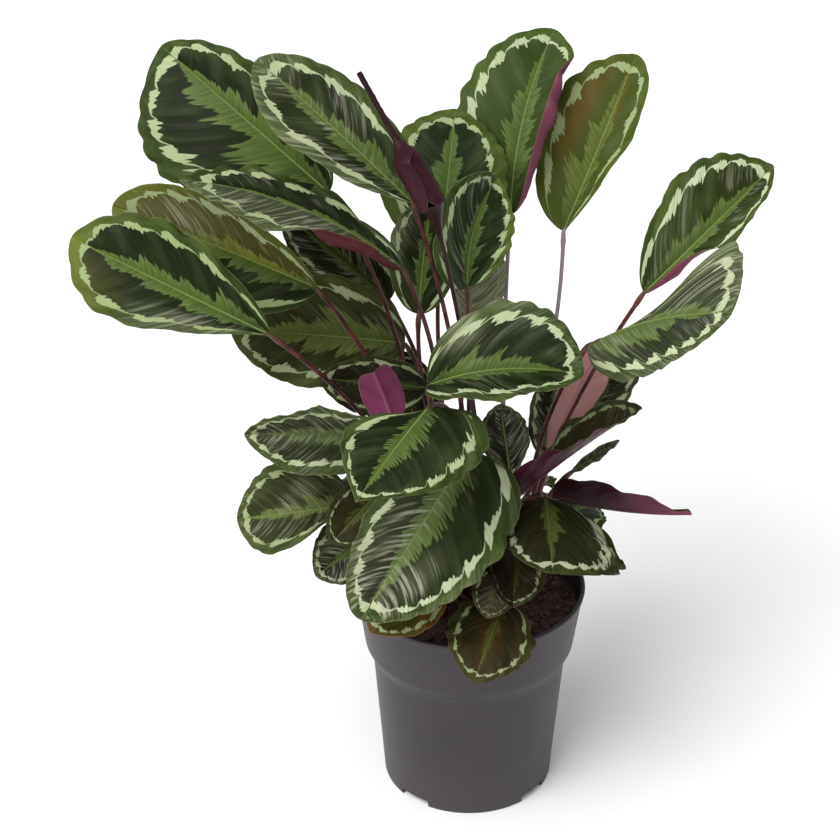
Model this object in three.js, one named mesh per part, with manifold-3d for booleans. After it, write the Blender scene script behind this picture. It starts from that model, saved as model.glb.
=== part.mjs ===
// Potted calathea, a rose painted prayer plant in a moulded nursery pot.
// Millimetres, +Z up, origin on the underside of the pot, on its axis. -Y is the front.
import * as THREE from 'three';
import { mergeVertices } from 'three/addons/utils/BufferGeometryUtils.js';
import Module from 'manifold-3d';

const wasm = await Module();
wasm.setup();

// ---- Pot -------------------------------------------------------------------------------
const potHeight = 185;
const rimRadius = 95; // outside of the rim's lip
const bandRadius = 86.8; // outside of the rim band, at its lower edge
const bandHeight = 51; // from the lip down to the shoulder
const shoulderRadius = 80.2; // outside of the wall, just under the shoulder
const shoulderHeight = 14;
const footRadius = 71.4;
const cornerRadius = 7; // rounded edge between wall and foot
const wall = 1.8;
const lipHeight = 5;
const lipOverhang = 1.6;
const lipRound = 1.2;
const floorLift = 5; // the floor is raised inside the foot ring
const footWidth = 15;
const footOuter = footRadius - 2; // outer edge of the ring that stands on the ground
const draft = 4; // slant of the foot ring's and the boss's sides
const potSides = 32;
const notchWidth = 24;
const notchHeight = 5;
const notchDepth = 22;
const notchTurn = -36; // degrees from the front, then every quarter turn
const bossRadius = 12; // flat middle of the floor, which stands on the ground
const drainRadius = 5;
const drainRing = 40;
const drainCount = 6;
const drainSides = 8;

// ---- Soil ------------------------------------------------------------------------------
const soilLevel = 166;
const soilGap = 0.3; // clear of the pot, and of each shoot
const soilMound = 5;
const soilBump = 1.6;
const soilRings = 6;
const chipCount = 26;
const chipSize = [5, 13]; // shortest and longest bark chip
const chipSeed = 11;
const chipWidth = 0.6; // share of its length
const chipHeight = 6;
const chipSink = 1; // how far its middle lies under the surface
const chipTilt = 0.5; // radians, from one side to the other

// ---- Stems -----------------------------------------------------------------------------
const shootRadius = 8.5;
const shootDepth = 34; // how deep a shoot stands in the soil
const shootRise = 14; // top of the sheath above the soil
const shootSides = 9;
const holeSides = 16;
const sheathRing = 4.6; // the petioles' feet stand round the shoot at this radius
const sheathDepth = 12; // and this far under the soil's level
const petioleFoot = 3.2; // radius where the petioles sheathe each other
const petioleTop = 1.7;
const pulvinusRadius = 2.3; // thicker joint under each blade
const pulvinusLength = 14;
const petioleSides = 5;
const petioleSteps = 7;
const taperEnd = 0.6; // share of the petiole where it has thinned to its top radius
const jointGap = 0.35; // between a petiole's end and its blade
const bendClearance = 1.5; // extra gap where a petiole meets its blade at an angle
const uprightReach = 0.42; // share of its length that a petiole rises before it leans
const leadReach = 0.3; // and the share that runs in line with its blade

// ---- Blades ----------------------------------------------------------------------------
const bladeThickness = 0.9;
const ribDepth = 1.3; // the midrib stands this far out of the underside at the base
const longBlade = 100; // longer blades get more rows
const rowsLong = 9;
const rowsShort = 7;
const columns = 6;
const ribTaper = 0.8; // share of the midrib's depth that is gone at the tip
const archShare = 0.09; // bow of a plain midrib, by its length
const droop = -16; // degrees that a plain blade bends down from midrib to margin
const plainFace = [0, 30];
const waveHeight = 2.5;
const waveShift = 0.37; // between the waves of the two margins
const wavesAlong = 2.6;
const tipPoint = 0.66; // 0.5 is a round end, 1 a straight-sided point
const basePoint = 0.5;

// Where each shoot comes out of the soil.
const shoots = {
  front: [8, -34],
  front_left: [-26, -24],
  left: [-38, 8],
  middle: [-4, 2],
  back_left: [-14, 36],
  back_right: [22, 30],
  right: [36, -8],
};

// One entry for each blade. base and tip are the two ends of its midrib. half is how far the
// blade reaches from the midrib, left then right as seen on the upper side with the tip up;
// where another value has two numbers, they are for the same two halves. face is the way the
// upper side looks: degrees round from the front towards +X, and degrees up. fold lifts each
// half from the midrib, curl bends it further out to its margin, and foldTip and curlTip are
// the same at the tip, all in degrees. arch bows the midrib towards the upper side and sway to
// its right. widest is how far along the blade it is widest, sweep how far each half is drawn
// towards the tip for every millimetre out, and point how sharp the tip is. wave is the height
// of the margin's waves. lead is the way the petiole points where it meets the blade, and reach
// how far it keeps that way.
const blades = [
  { id: '01', shoot: 'left', base: [-110, 15, 526], tip: [-237, 75, 620], half: [74, 38],
    face: [-5, 30], fold: [0, 20], widest: [0.62, 0.5], lead: [-0.5, 0, 0.85] },
  { id: '02', shoot: 'middle', base: [-47, -20, 533], tip: [-160, 12, 632], half: [37, 38],
    fold: [38, 35], widest: [0.64, 0.5], lead: [-0.3, 0, 0.9] },
  { id: '03', shoot: 'front_left', base: [-54, -45, 491], tip: [-213, -60, 568], half: [42, 35],
    face: [0, 78], fold: [10, 5], lead: [-0.35, -0.1, 0.8] },
  { id: '04', shoot: 'front_left', base: [-119, -20, 463], tip: [-269, -15, 528], half: [46, 42],
    face: [5, 30], fold: [15, 50], widest: [0.5, 0.62], lead: [-0.55, -0.1, 0.8] },
  { id: '05', shoot: 'front_left', base: [-150, -85, 456], tip: [-292, -70, 527], half: [40, 41],
    face: [-5, 30], fold: [30, 15], foldTip: [5, 15], widest: [0.7, 0.62], lead: [-0.7, -0.2, 0.7] },
  { id: '06', shoot: 'left', base: [-53, 25, 393], tip: [-188, 12, 410], half: [44, 48],
    face: [0, 35], fold: [20, 15], lead: [-0.5, 0.1, 0.8] },
  { id: '07', shoot: 'back_left', base: [-66, 65, 411], tip: [-149, 95, 472], half: [38, 36],
    face: [0, 35], fold: [50, 40], lead: [-0.5, 0.1, 0.9] },
  { id: '08', shoot: 'back_left', base: [-25, 40, 462], tip: [-13, 118, 553], half: [54, 46],
    face: [0, 40], fold: [5, 5] },
  { id: '09', shoot: 'middle', base: [-5, 0, 454], tip: [18, 35, 530], half: [40, 30],
    face: [10, 30], fold: [50, 10], sway: -8 },
  { id: '10', shoot: 'middle', base: [-42, 5, 429], tip: [-32, 55, 504], half: [28, 32],
    face: [-10, 30], fold: [30, 30] },
  { id: '11', shoot: 'front', base: [-28, -66, 546], tip: [-84, -50, 645], half: [36, 36],
    face: [180, 20], fold: [10, 10], curl: 110, curlTip: 270, widest: 0.3, point: 2.2,
    arch: 2, wave: 1, lead: [-0.22, -0.25, 1] },
  { id: '12', shoot: 'back_right', base: [31, 90, 475], tip: [66, 160, 604], half: [53, 43],
    fold: [0, 30], curl: [-16, 165], curlTip: [-16, 30], widest: [0.5, 0.56], sway: -8,
    lead: [0.05, 0, 1] },
  { id: '13', shoot: 'back_right', base: [74, 95, 458], tip: [132, 160, 583], half: [50, 27],
    fold: [5, 45], widest: [0.5, 0.66], lead: [0, 0.1, 1], reach: 0.5 },
  { id: '14', shoot: 'right', base: [131, 5, 447], tip: [231, 55, 531], half: [39, 27],
    fold: [10, 30], curl: [-16, 110], curlTip: [-16, 30], widest: [0.58, 0.5], point: 0.8,
    lead: [0.5, 0.1, 0.8] },
  { id: '15', shoot: 'right', base: [86, -35, 422], tip: [188, -70, 467], half: [48, 40],
    fold: [5, 20], widest: [0.78, 0.42], sweep: [0.5, -0.2], sway: -7, lead: [0.4, -0.3, 0.85] },
  { id: '16', shoot: 'front_left', base: [-35, -68, 405], tip: [79, -92, 427], half: [51, 44],
    face: [0, 35], fold: [10, 62], sway: -7, widest: [0.56, 0.5], lead: [-0.1, -0.5, 0.9] },
  { id: '17', shoot: 'front', base: [-35, -100, 404], tip: [-87, -175, 368], half: [61, 40],
    face: [0, 40], fold: [28, 10], foldTip: [0, 10], widest: [0.45, 0.6], sweep: [-0.22, 0],
    point: 0.7, lead: [-0.35, -0.85, 0.2] },
  { id: '18', shoot: 'front', base: [-3, -62, 346], tip: [-86, -140, 243], half: [68, 42],
    fold: [4, 25], widest: [0.42, 0.5], sweep: [-0.12, 0], point: 0.5, lead: [-0.2, -0.5, 0.8] },
  { id: '19', shoot: 'front_left', base: [-75, -62, 358], tip: [-172, -90, 376], half: [38, 32],
    face: [0, 40], fold: [30, 75], lead: [-0.6, -0.3, 0.7] },
  { id: '20', shoot: 'left', base: [-94, -60, 296], tip: [-181, -85, 298], half: [30, 42],
    fold: [20, 10], widest: [0.74, 0.5], lead: [-0.6, -0.6, 0.4] },
  { id: '21', shoot: 'front_left', base: [-68, -48, 273], tip: [-122, -82, 244], half: [26, 28],
    fold: [15, 15] },
  { id: '22', shoot: 'front_left', base: [-68, -78, 325], tip: [-108, -108, 291], half: [22, 22],
    fold: [15, 15] },
  { id: '23', shoot: 'right', base: [57, -42, 291], tip: [59, -125, 275], half: [75, 38],
    face: [0, 60], fold: [-12, 5], curl: [-40, -20], sweep: [0.14, 0] },
  { id: '24', shoot: 'right', base: [63, -30, 285], tip: [171, -55, 284], half: [17, 31],
    face: [0, 85], fold: [82, 74], curl: 0, widest: [0.3, 0.27], point: 1.5, arch: -7 },
  { id: '25', shoot: 'right', base: [38, -40, 294], tip: [130, -35, 368], half: [30, 38],
    face: [0, 75], fold: [0, 80], foldTip: [0, 40], curl: 0, widest: [0.6, 0.3], arch: 3 },
  { id: '26', shoot: 'right', base: [62, 15, 297], tip: [106, 40, 390], half: [20, 16],
    face: [180, -20], fold: [20, 20], widest: [0.6, 0.6] },
  { id: '27', shoot: 'right', base: [81, 5, 287], tip: [119, 15, 311], half: [5, 5],
    face: [0, 40], fold: [30, 30] },
  { id: '28', shoot: 'front', base: [27, -50, 198], tip: [1, -118, 169], half: [35, 35],
    face: [0, 50], fold: [5, 5], arch: 12 },
  { id: '29', shoot: 'front', base: [23, -45, 226], tip: [11, -85, 207], half: [18, 18],
    fold: [5, 5] },
  { id: '30', shoot: 'front', base: [32, -48, 251], tip: [31, -100, 227], half: [26, 26],
    fold: [5, 40] },
  { id: '32', shoot: 'middle', base: [32, 25, 277], tip: [24, 55, 322], half: [22, 22],
    fold: [10, 10] },
  { id: '33', shoot: 'middle', base: [-37, -15, 375], tip: [-118, -45, 399], half: [26, 22],
    fold: [10, 30], lead: [-0.3, -0.2, 0.9] },
  { id: '34', shoot: 'front_left', base: [-62, -90, 388], tip: [-75, -88, 426], half: [19, 19],
    face: [180, -20], fold: [38, 16], arch: 3, point: 0.32, lead: [-0.15, -0.35, 0.9] },
  { id: '35', shoot: 'back_left', base: [-2, 60, 387], tip: [4, 110, 452], half: [24, 24],
    fold: [10, 10] },
  { id: '36', shoot: 'back_right', base: [88, 40, 310], tip: [130, 65, 380], half: [22, 23],
    face: [0, 20], fold: [10, 10] },
  { id: '37', shoot: 'front', base: [-25, -55, 214], tip: [-80, -110, 211], half: [26, 26],
    face: [0, 60], fold: [5, 5] },
  { id: '38', shoot: 'left', base: [-45, 25, 305], tip: [-56, 45, 376], half: [26, 26],
    face: [0, 20], fold: [20, 20] },
  { id: '39', shoot: 'back_right', base: [64, 45, 275], tip: [70, 75, 341], half: [20, 20],
    face: [0, 20], fold: [20, 20] },
  { id: '40', shoot: 'back_left', base: [-48, 60, 262], tip: [-112, 132, 255], half: [42, 38],
    face: [210, 60], fold: [10, 10] },
  { id: '41', shoot: 'back_left', base: [0, 75, 270], tip: [-5, 168, 240], half: [44, 42],
    face: [180, 55], fold: [5, 5] },
  { id: '42', shoot: 'back_right', base: [18, 70, 228], tip: [50, 150, 200], half: [40, 42],
    face: [160, 55], fold: [10, 5] },
  { id: '43', shoot: 'left', base: [-60, 30, 240], tip: [-130, 70, 225], half: [36, 36],
    face: [240, 60], fold: [10, 10], lead: [-0.7, 0.3, 0.5] },
  { id: '44', shoot: 'back_right', base: [55, 45, 205], tip: [110, 95, 200], half: [36, 34],
    face: [120, 60], fold: [5, 10] },
];

const colours = {
  pot: { color: 0x4f4a4c, roughness: 0.5, metalness: 0 },
  soil: { color: 0x2b1d18, roughness: 0.95, metalness: 0 },
  stem: { color: 0x5e2a30, roughness: 0.5, metalness: 0 },
  blade: { color: 0x3c5a30, roughness: 0.5, metalness: 0 },
};

const radians = THREE.MathUtils.degToRad;
const vector = (xyz) => new THREE.Vector3(...xyz);
const pair = (value, fallback) => (Array.isArray(value) ? value : [value ?? fallback, value ?? fallback]);

function random(seed) {
  let state = seed;
  return () => {
    state = (state * 16807) % 2147483647;
    return state / 2147483647;
  };
}

// ---- Solids ----------------------------------------------------------------------------

function toSolid(geometry) {
  const bare = geometry.index ? geometry.clone() : geometry;
  bare.deleteAttribute('normal');
  bare.deleteAttribute('uv');
  const merged = mergeVertices(bare, 1e-4);
  return new wasm.Manifold(
    new wasm.Mesh({
      numProp: 3,
      vertProperties: new Float32Array(merged.attributes.position.array),
      triVerts: new Uint32Array(merged.index.array),
    }),
  );
}

function toGeometry(solid) {
  const mesh = solid.getMesh();
  return meshGeometry(Array.from(mesh.vertProperties), Array.from(mesh.triVerts));
}

// The outer skin of the biggest body, so that loose scraps go and sealed gaps are filled.
function largestPiece(solid) {
  return solid.decompose().sort((a, b) => b.volume() - a.volume())[0];
}

function meshGeometry(positions, triangles) {
  const geometry = new THREE.BufferGeometry();
  geometry.setAttribute('position', new THREE.Float32BufferAttribute(positions, 3));
  geometry.setIndex(triangles);
  geometry.computeVertexNormals();
  return geometry;
}

function lathe(profile, sides) {
  const points = profile.map(([radius, height]) => new THREE.Vector2(radius, height));
  const geometry = new THREE.LatheGeometry(points, sides);
  geometry.rotateX(Math.PI / 2);
  return geometry;
}

function drum(radius, bottom, top, sides, x = 0, y = 0) {
  const geometry = new THREE.CylinderGeometry(radius, radius, top - bottom, sides);
  geometry.rotateX(Math.PI / 2);
  geometry.translate(x, y, (top + bottom) / 2);
  return geometry;
}

function addMesh(group, name, geometry, finish) {
  const mesh = new THREE.Mesh(geometry, new THREE.MeshStandardMaterial(finish));
  mesh.name = name;
  group.add(mesh);
}

// ---- Pot and soil ----------------------------------------------------------------------

// The wall's outer radius and height, from the corner above the foot up to the lip.
const bandBottom = potHeight - bandHeight;
const wallTop = bandBottom - shoulderHeight;
const outerWall = [
  [footRadius, cornerRadius],
  [shoulderRadius, wallTop],
  [bandRadius, bandBottom],
  [rimRadius - lipOverhang, potHeight - lipHeight],
];

// Outer radius of the wall at a height, along those straight stretches.
function wallRadius(height) {
  const upper = outerWall.findIndex(([, top]) => top >= height);
  const [r1, z1] = outerWall[Math.max(upper, 1)];
  const [r0, z0] = outerWall[Math.max(upper, 1) - 1];
  return r0 + ((r1 - r0) * (height - z0)) / (z1 - z0);
}

function potGeometry() {
  const corner = [22.5, 50].map((degrees) => [
    footOuter + (footRadius - footOuter) * Math.sin(radians(degrees)),
    cornerRadius * (1 - Math.cos(radians(degrees))),
  ]);
  const outside = [
    [footOuter, 0],
    ...corner,
    ...outerWall,
    [rimRadius, potHeight - lipHeight + lipRound],
    [rimRadius, potHeight - lipRound],
    [rimRadius - lipRound, potHeight],
  ];
  const inside = [
    [rimRadius - lipOverhang - wall, potHeight],
    [rimRadius - lipOverhang - wall, potHeight - lipHeight],
    [bandRadius - wall, bandBottom],
    [shoulderRadius - wall, wallTop],
    [footRadius - wall, cornerRadius + wall],
    [footRadius - wall - cornerRadius, floorLift + wall],
    [0, floorLift + wall],
  ];
  const underside = [
    [0, 0],
    [bossRadius, 0],
    [bossRadius + draft, floorLift],
    [footOuter - footWidth, floorLift],
    [footOuter - footWidth + draft, 0],
  ];
  let pot = toSolid(lathe([...underside, ...outside, ...inside], potSides));
  for (let quarter = 0; quarter < 4; quarter += 1) {
    const angle = radians(notchTurn + 90 * quarter);
    const notch = new THREE.BoxGeometry(notchWidth, notchDepth, 2 * notchHeight);
    notch.translate(0, -footRadius, 0);
    notch.rotateZ(angle);
    pot = pot.subtract(toSolid(notch));
  }
  for (let hole = 0; hole < drainCount; hole += 1) {
    const angle = (hole / drainCount) * 2 * Math.PI;
    const [x, y] = [drainRing * Math.cos(angle), drainRing * Math.sin(angle)];
    pot = pot.subtract(toSolid(drum(drainRadius, -wall, floorLift + 2 * wall, drainSides, x, y)));
  }
  return toGeometry(pot);
}

// Height of the soil's surface: a low mound with shallow bumps, level at the pot's wall.
function soilHeight(x, y) {
  const reach = Math.hypot(x, y) / (rimRadius - wall);
  const bumps = Math.sin(0.21 * x + 1.3) * Math.cos(0.17 * y) + Math.sin(0.11 * (x + 2 * y));
  return soilLevel + soilMound * (1 - reach * reach) + soilBump * bumps;
}

function soilGeometry() {
  const bottom = floorLift + wall + soilGap;
  const ring = (radius, height) =>
    Array.from({ length: potSides }, (_, side) => {
      const angle = (side / potSides) * 2 * Math.PI;
      const [x, y] = [radius * Math.sin(angle), -radius * Math.cos(angle)];
      return [x, y, height ?? soilHeight(x, y)];
    });
  const inner = (height) => wallRadius(height) - wall - 3 * soilGap;
  const topRadius = inner(soilLevel - soilMound);
  const rings = [
    ring(footRadius - wall - cornerRadius - soilGap, bottom),
    ring(inner(2 * cornerRadius), 2 * cornerRadius),
    ring(inner(wallTop), wallTop),
    ring(inner(bandBottom) - soilGap, bandBottom),
  ];
  for (let step = 0; step < soilRings; step += 1) {
    rings.push(ring(topRadius * (1 - step / soilRings)));
  }
  const positions = [0, 0, bottom, ...rings.flat(2), 0, 0, soilHeight(0, 0)];
  const last = rings.length * potSides + 1;
  const triangles = [];
  for (let side = 0; side < potSides; side += 1) {
    const next = (side + 1) % potSides;
    triangles.push(0, 1 + next, 1 + side);
    for (let level = 0; level + 1 < rings.length; level += 1) {
      const [low, high] = [1 + level * potSides, 1 + (level + 1) * potSides];
      triangles.push(low + side, low + next, high + next, low + side, high + next, high + side);
    }
    const edge = 1 + (rings.length - 1) * potSides;
    triangles.push(edge + side, edge + next, last);
  }
  let soil = toSolid(meshGeometry(positions, triangles));
  soil = addChips(soil, topRadius);
  for (const [x, y] of Object.values(shoots)) {
    const [holeBottom, holeTop] = [soilLevel - shootDepth - soilGap, soilLevel + shootDepth];
    const hole = drum(shootRadius + soilGap, holeBottom, holeTop, holeSides, x, y);
    soil = soil.subtract(toSolid(hole));
  }
  return toGeometry(soil);
}

// Bark chips lie sunk halfway into the soil, clear of the shoots and of the wall.
function addChips(soil, reach) {
  const draw = random(chipSeed);
  let covered = soil;
  let placed = 0;
  while (placed < chipCount) {
    const [shortest, longest] = chipSize;
    const length = shortest + (longest - shortest) * draw();
    const angle = 2 * Math.PI * draw();
    const radius = (reach - longest) * Math.sqrt(draw());
    const [x, y] = [radius * Math.cos(angle), radius * Math.sin(angle)];
    const tilts = [chipTilt * (draw() - 0.5), chipTilt * (draw() - 0.5), Math.PI * draw()];
    const nearShoot = Object.values(shoots).some(
      ([sx, sy]) => Math.hypot(x - sx, y - sy) < shootRadius + longest,
    );
    if (!nearShoot) {
      const chip = new THREE.BoxGeometry(length, length * chipWidth, chipHeight);
      chip.rotateX(tilts[0]);
      chip.rotateY(tilts[1]);
      chip.rotateZ(tilts[2]);
      chip.translate(x, y, soilHeight(x, y) - chipSink);
      covered = covered.add(toSolid(chip));
      placed += 1;
    }
  }
  return covered;
}

// ---- Blades ----------------------------------------------------------------------------

function facing([around, up]) {
  const [a, e] = [radians(around), radians(up)];
  return new THREE.Vector3(Math.sin(a) * Math.cos(e), -Math.cos(a) * Math.cos(e), Math.sin(e));
}

// The midrib's curve, and the two directions that the blade's sections are drawn in.
function bladeFrame(blade) {
  const base = vector(blade.base);
  const tip = vector(blade.tip);
  const axis = tip.clone().sub(base).normalize();
  const up = facing(blade.face ?? plainFace);
  up.addScaledVector(axis, -up.dot(axis)).normalize();
  const right = axis.clone().cross(up);
  const length = base.distanceTo(tip);
  const middle = base.clone().add(tip).multiplyScalar(0.5);
  middle.addScaledVector(up, 2 * (blade.arch ?? length * archShare));
  middle.addScaledVector(right, 2 * (blade.sway ?? 0));
  return { curve: new THREE.QuadraticBezierCurve3(base, middle, tip), up, length };
}

// Share of the blade's full width along its length, with a round base and a blunt tip.
function widthShare(blade, hand, s) {
  const roundness = basePoint + ((blade.point ?? tipPoint) - basePoint) * s ** 4;
  const stretch = s ** (Math.log(0.5) / Math.log(pair(blade.widest, 0.5)[hand]));
  return Math.sin(Math.PI * stretch) ** roundness;
}

// One point of the blade at s along the midrib and u across it, with its sheet's normal.
function bladePoint(blade, frame, s, u) {
  const side = Math.sign(u);
  const hand = side < 0 ? 0 : 1;
  const point = frame.curve.getPoint(s);
  const along = frame.curve.getTangent(s);
  const up = frame.up.clone();
  up.addScaledVector(along, -up.dot(along)).normalize();
  const right = along.clone().cross(up);
  const distance = Math.abs(u) * blade.half[hand] * widthShare(blade, hand, s);
  const startFold = pair(blade.fold, 0)[hand];
  const endFold = pair(blade.foldTip ?? blade.fold, 0)[hand];
  const fold = radians(startFold + (endFold - startFold) * s);
  const startCurl = pair(blade.curl, droop)[hand];
  const endCurl = pair(blade.curlTip ?? blade.curl, droop)[hand];
  const bend = radians(startCurl + (endCurl - startCurl) * s) / blade.half[hand];
  const turn = fold + bend * distance;
  const straight = Math.abs(bend) < 1e-6;
  const out = straight ? distance * Math.cos(fold) : (Math.sin(turn) - Math.sin(fold)) / bend;
  const rise = straight ? distance * Math.sin(fold) : (Math.cos(fold) - Math.cos(turn)) / bend;
  const normal = up.clone().multiplyScalar(Math.cos(turn));
  normal.addScaledVector(right, -side * Math.sin(turn));
  const wave = (blade.wave ?? waveHeight) * Math.sin(2 * Math.PI * (wavesAlong * s + waveShift * hand));
  point.addScaledVector(along, pair(blade.sweep, 0)[hand] * distance);
  point.addScaledVector(right, side * out);
  point.addScaledVector(up, rise);
  point.addScaledVector(normal, wave * u * u * Math.sin(Math.PI * s));
  return { point, normal };
}

// A closed thin sheet: both faces are split into the same triangles and joined at the margin.
function bladeGeometry(blade) {
  const frame = bladeFrame(blade);
  const rows = frame.length > longBlade ? rowsLong : rowsShort;
  const upper = [];
  const lower = [];
  const addPair = (s, u) => {
    const { point, normal } = bladePoint(blade, frame, s, u);
    const rib = u === 0 ? ribDepth * (1 - ribTaper * s) : 0;
    upper.push(point.clone().addScaledVector(normal, bladeThickness / 2));
    lower.push(point.clone().addScaledVector(normal, -bladeThickness / 2 - rib));
  };
  addPair(0, 0);
  for (let row = 1; row < rows; row += 1) {
    const even = row / rows;
    const s = (even + 0.5 - 0.5 * Math.cos(Math.PI * even)) / 2;
    for (let column = 0; column <= columns; column += 1) {
      addPair(s, (2 * column) / columns - 1);
    }
  }
  addPair(1, 0);
  const at = (row, column) => {
    if (row === 0) return 0;
    return row === rows ? upper.length - 1 : 1 + (row - 1) * (columns + 1) + column;
  };
  const face = [];
  for (let row = 0; row < rows; row += 1) {
    for (let column = 0; column < columns; column += 1) {
      const [a, b] = [at(row, column), at(row, column + 1)];
      const [c, d] = [at(row + 1, column + 1), at(row + 1, column)];
      if (row === 0) face.push([a, c, d]);
      else if (row === rows - 1) face.push([a, b, c]);
      else if (column < columns / 2) face.push([a, b, c], [a, c, d]);
      else face.push([a, b, d], [b, c, d]);
    }
  }
  const under = upper.length;
  const triangles = face.flatMap(([a, b, c]) => [a, b, c, under + a, under + c, under + b]);
  for (let row = 0; row < rows; row += 1) {
    for (const column of [0, columns]) {
      const [a, b] = [at(row, column), at(row + 1, column)];
      const wallFaces = [a, b, under + b, a, under + b, under + a];
      if (column === columns) wallFaces.reverse();
      triangles.push(...wallFaces);
    }
  }
  return meshGeometry([...upper, ...lower].flatMap((p) => p.toArray()), triangles);
}

// ---- Stems -----------------------------------------------------------------------------

function tube(curve, radiusAt, sides, steps) {
  const frames = curve.computeFrenetFrames(steps, false);
  const positions = [...curve.getPointAt(0).toArray()];
  for (let step = 0; step <= steps; step += 1) {
    const centre = curve.getPointAt(step / steps);
    for (let side = 0; side < sides; side += 1) {
      const angle = (side / sides) * 2 * Math.PI;
      const spoke = frames.normals[step].clone().multiplyScalar(Math.cos(angle));
      spoke.addScaledVector(frames.binormals[step], Math.sin(angle));
      positions.push(...centre.clone().addScaledVector(spoke, radiusAt(step / steps)).toArray());
    }
  }
  positions.push(...curve.getPointAt(1).toArray());
  const last = 1 + (steps + 1) * sides;
  const triangles = [];
  for (let side = 0; side < sides; side += 1) {
    const next = (side + 1) % sides;
    triangles.push(0, 1 + next, 1 + side);
    for (let step = 0; step < steps; step += 1) {
      const [near, far] = [1 + step * sides, 1 + (step + 1) * sides];
      triangles.push(near + side, near + next, far + next, near + side, far + next, far + side);
    }
    const edge = 1 + steps * sides;
    triangles.push(edge + side, edge + next, last);
  }
  return meshGeometry(positions, triangles);
}

// A petiole rises out of its shoot, leans out and meets its blade in line with the midrib.
function petioleCurve(blade, order, count) {
  const frame = bladeFrame(blade);
  const along = frame.curve.getTangent(0);
  const lead = blade.lead ? vector(blade.lead).normalize() : along;
  const bent = bendClearance * petioleTop * (1 - Math.max(0, lead.dot(along)));
  const end = vector(blade.base).addScaledVector(lead, -jointGap - bent);
  const angle = (order / count) * 2 * Math.PI;
  const [x, y] = shoots[blade.shoot];
  const foot = new THREE.Vector3(x, y, soilLevel - sheathDepth);
  foot.x += sheathRing * Math.cos(angle);
  foot.y += sheathRing * Math.sin(angle);
  const span = foot.distanceTo(end);
  const first = foot.clone();
  first.z += span * uprightReach;
  const second = end.clone().addScaledVector(lead, -span * (blade.reach ?? leadReach));
  return new THREE.CubicBezierCurve3(foot, first, second, end);
}

function petioleGeometry(blade, order, count) {
  const curve = petioleCurve(blade, order, count);
  const length = curve.getLength();
  const radiusAt = (t) => {
    const taper = petioleFoot + (petioleTop - petioleFoot) * Math.min(1, t / taperEnd);
    const joint = Math.max(0, 1 - (length * (1 - t)) / pulvinusLength);
    return taper + (pulvinusRadius - petioleTop) * Math.sin(Math.PI * joint);
  };
  return tube(curve, radiusAt, petioleSides, petioleSteps);
}

function shootGeometry(shoot, members) {
  const [x, y] = shoots[shoot];
  const [bottom, top] = [soilLevel - shootDepth, soilLevel + shootRise];
  let solid = toSolid(drum(shootRadius, bottom, top, shootSides, x, y));
  members.forEach((blade, order) => {
    solid = solid.add(toSolid(petioleGeometry(blade, order, members.length)));
  });
  return toGeometry(largestPiece(solid));
}

// ---- The plant -------------------------------------------------------------------------

const calathea = new THREE.Group();
addMesh(calathea, 'pot', potGeometry(), colours.pot);
addMesh(calathea, 'soil', soilGeometry(), colours.soil);
for (const shoot of Object.keys(shoots)) {
  const members = blades.filter((blade) => blade.shoot === shoot);
  addMesh(calathea, `shoot_${shoot}`, shootGeometry(shoot, members), colours.stem);
}
for (const blade of blades) {
  addMesh(calathea, `blade_${blade.id}`, bladeGeometry(blade), colours.blade);
}

export default calathea;
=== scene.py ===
import math
import random

import bmesh
import bpy
import numpy as np
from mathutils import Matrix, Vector, noise


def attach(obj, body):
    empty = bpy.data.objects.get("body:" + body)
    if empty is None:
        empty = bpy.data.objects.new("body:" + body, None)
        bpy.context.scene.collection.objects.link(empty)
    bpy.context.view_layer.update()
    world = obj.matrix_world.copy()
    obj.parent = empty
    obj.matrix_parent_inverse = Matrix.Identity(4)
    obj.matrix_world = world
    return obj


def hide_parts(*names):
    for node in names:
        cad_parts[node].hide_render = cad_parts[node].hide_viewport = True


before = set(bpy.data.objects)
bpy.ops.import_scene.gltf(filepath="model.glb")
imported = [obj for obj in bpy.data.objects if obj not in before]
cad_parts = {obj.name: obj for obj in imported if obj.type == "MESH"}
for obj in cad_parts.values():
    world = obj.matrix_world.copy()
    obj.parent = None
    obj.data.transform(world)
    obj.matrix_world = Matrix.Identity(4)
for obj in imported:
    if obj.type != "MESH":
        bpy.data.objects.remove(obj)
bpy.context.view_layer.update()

print("potted calathea: frame loaded")

mm = 0.001
square = ((-1, -1), (1, -1), (1, 1), (-1, 1))


def hue(red, green, blue):
    # a colour as a paint program gives it, 0 to 255, as the shader wants it
    def linear(value):
        value /= 255
        return value / 12.92 if value < 0.04045 else ((value + 0.055) / 1.055) ** 2.4
    return (linear(red), linear(green), linear(blue), 1)


# camera, lights and floor

studio = {
    "cameraAt": (-0.041, -1.5, 1.175),
    "cameraPitch": 60.83,
    "lens": 93.2,
    "sensor": 36,
    "viewEnd": 50,
    "skyStrength": 0.38,
    "lights": {  # where it shines from, how many degrees it spreads, its power
        "keyLight": ((-1.3, -1.55, 2.3), 42, 2.3),
        "fillLight": ((0.6, -2.4, 1.4), 60, 0.25),
        "topLight": ((-0.8, -0.5, 3), 50, 0.9),
    },
    "aimAt": (0, 0, 0.32),
    "floorSize": 9,
    "floorGlow": 0.06,
    "floorLook": {"white": (249, 249, 250), "bright": (252, 252, 252)},
    "floorLow": -0.2,  # in millimetres, just under the pot
}


def addCamera(plan):
    camera = bpy.data.objects.new("camera", bpy.data.cameras.new("camera"))
    bpy.context.collection.objects.link(camera)
    camera.location = plan["cameraAt"]
    camera.rotation_euler = (math.radians(plan["cameraPitch"]), 0, 0)
    camera.data.lens = plan["lens"]
    camera.data.sensor_width = plan["sensor"]
    camera.data.clip_end = plan["viewEnd"]
    bpy.context.scene.camera = camera


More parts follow.
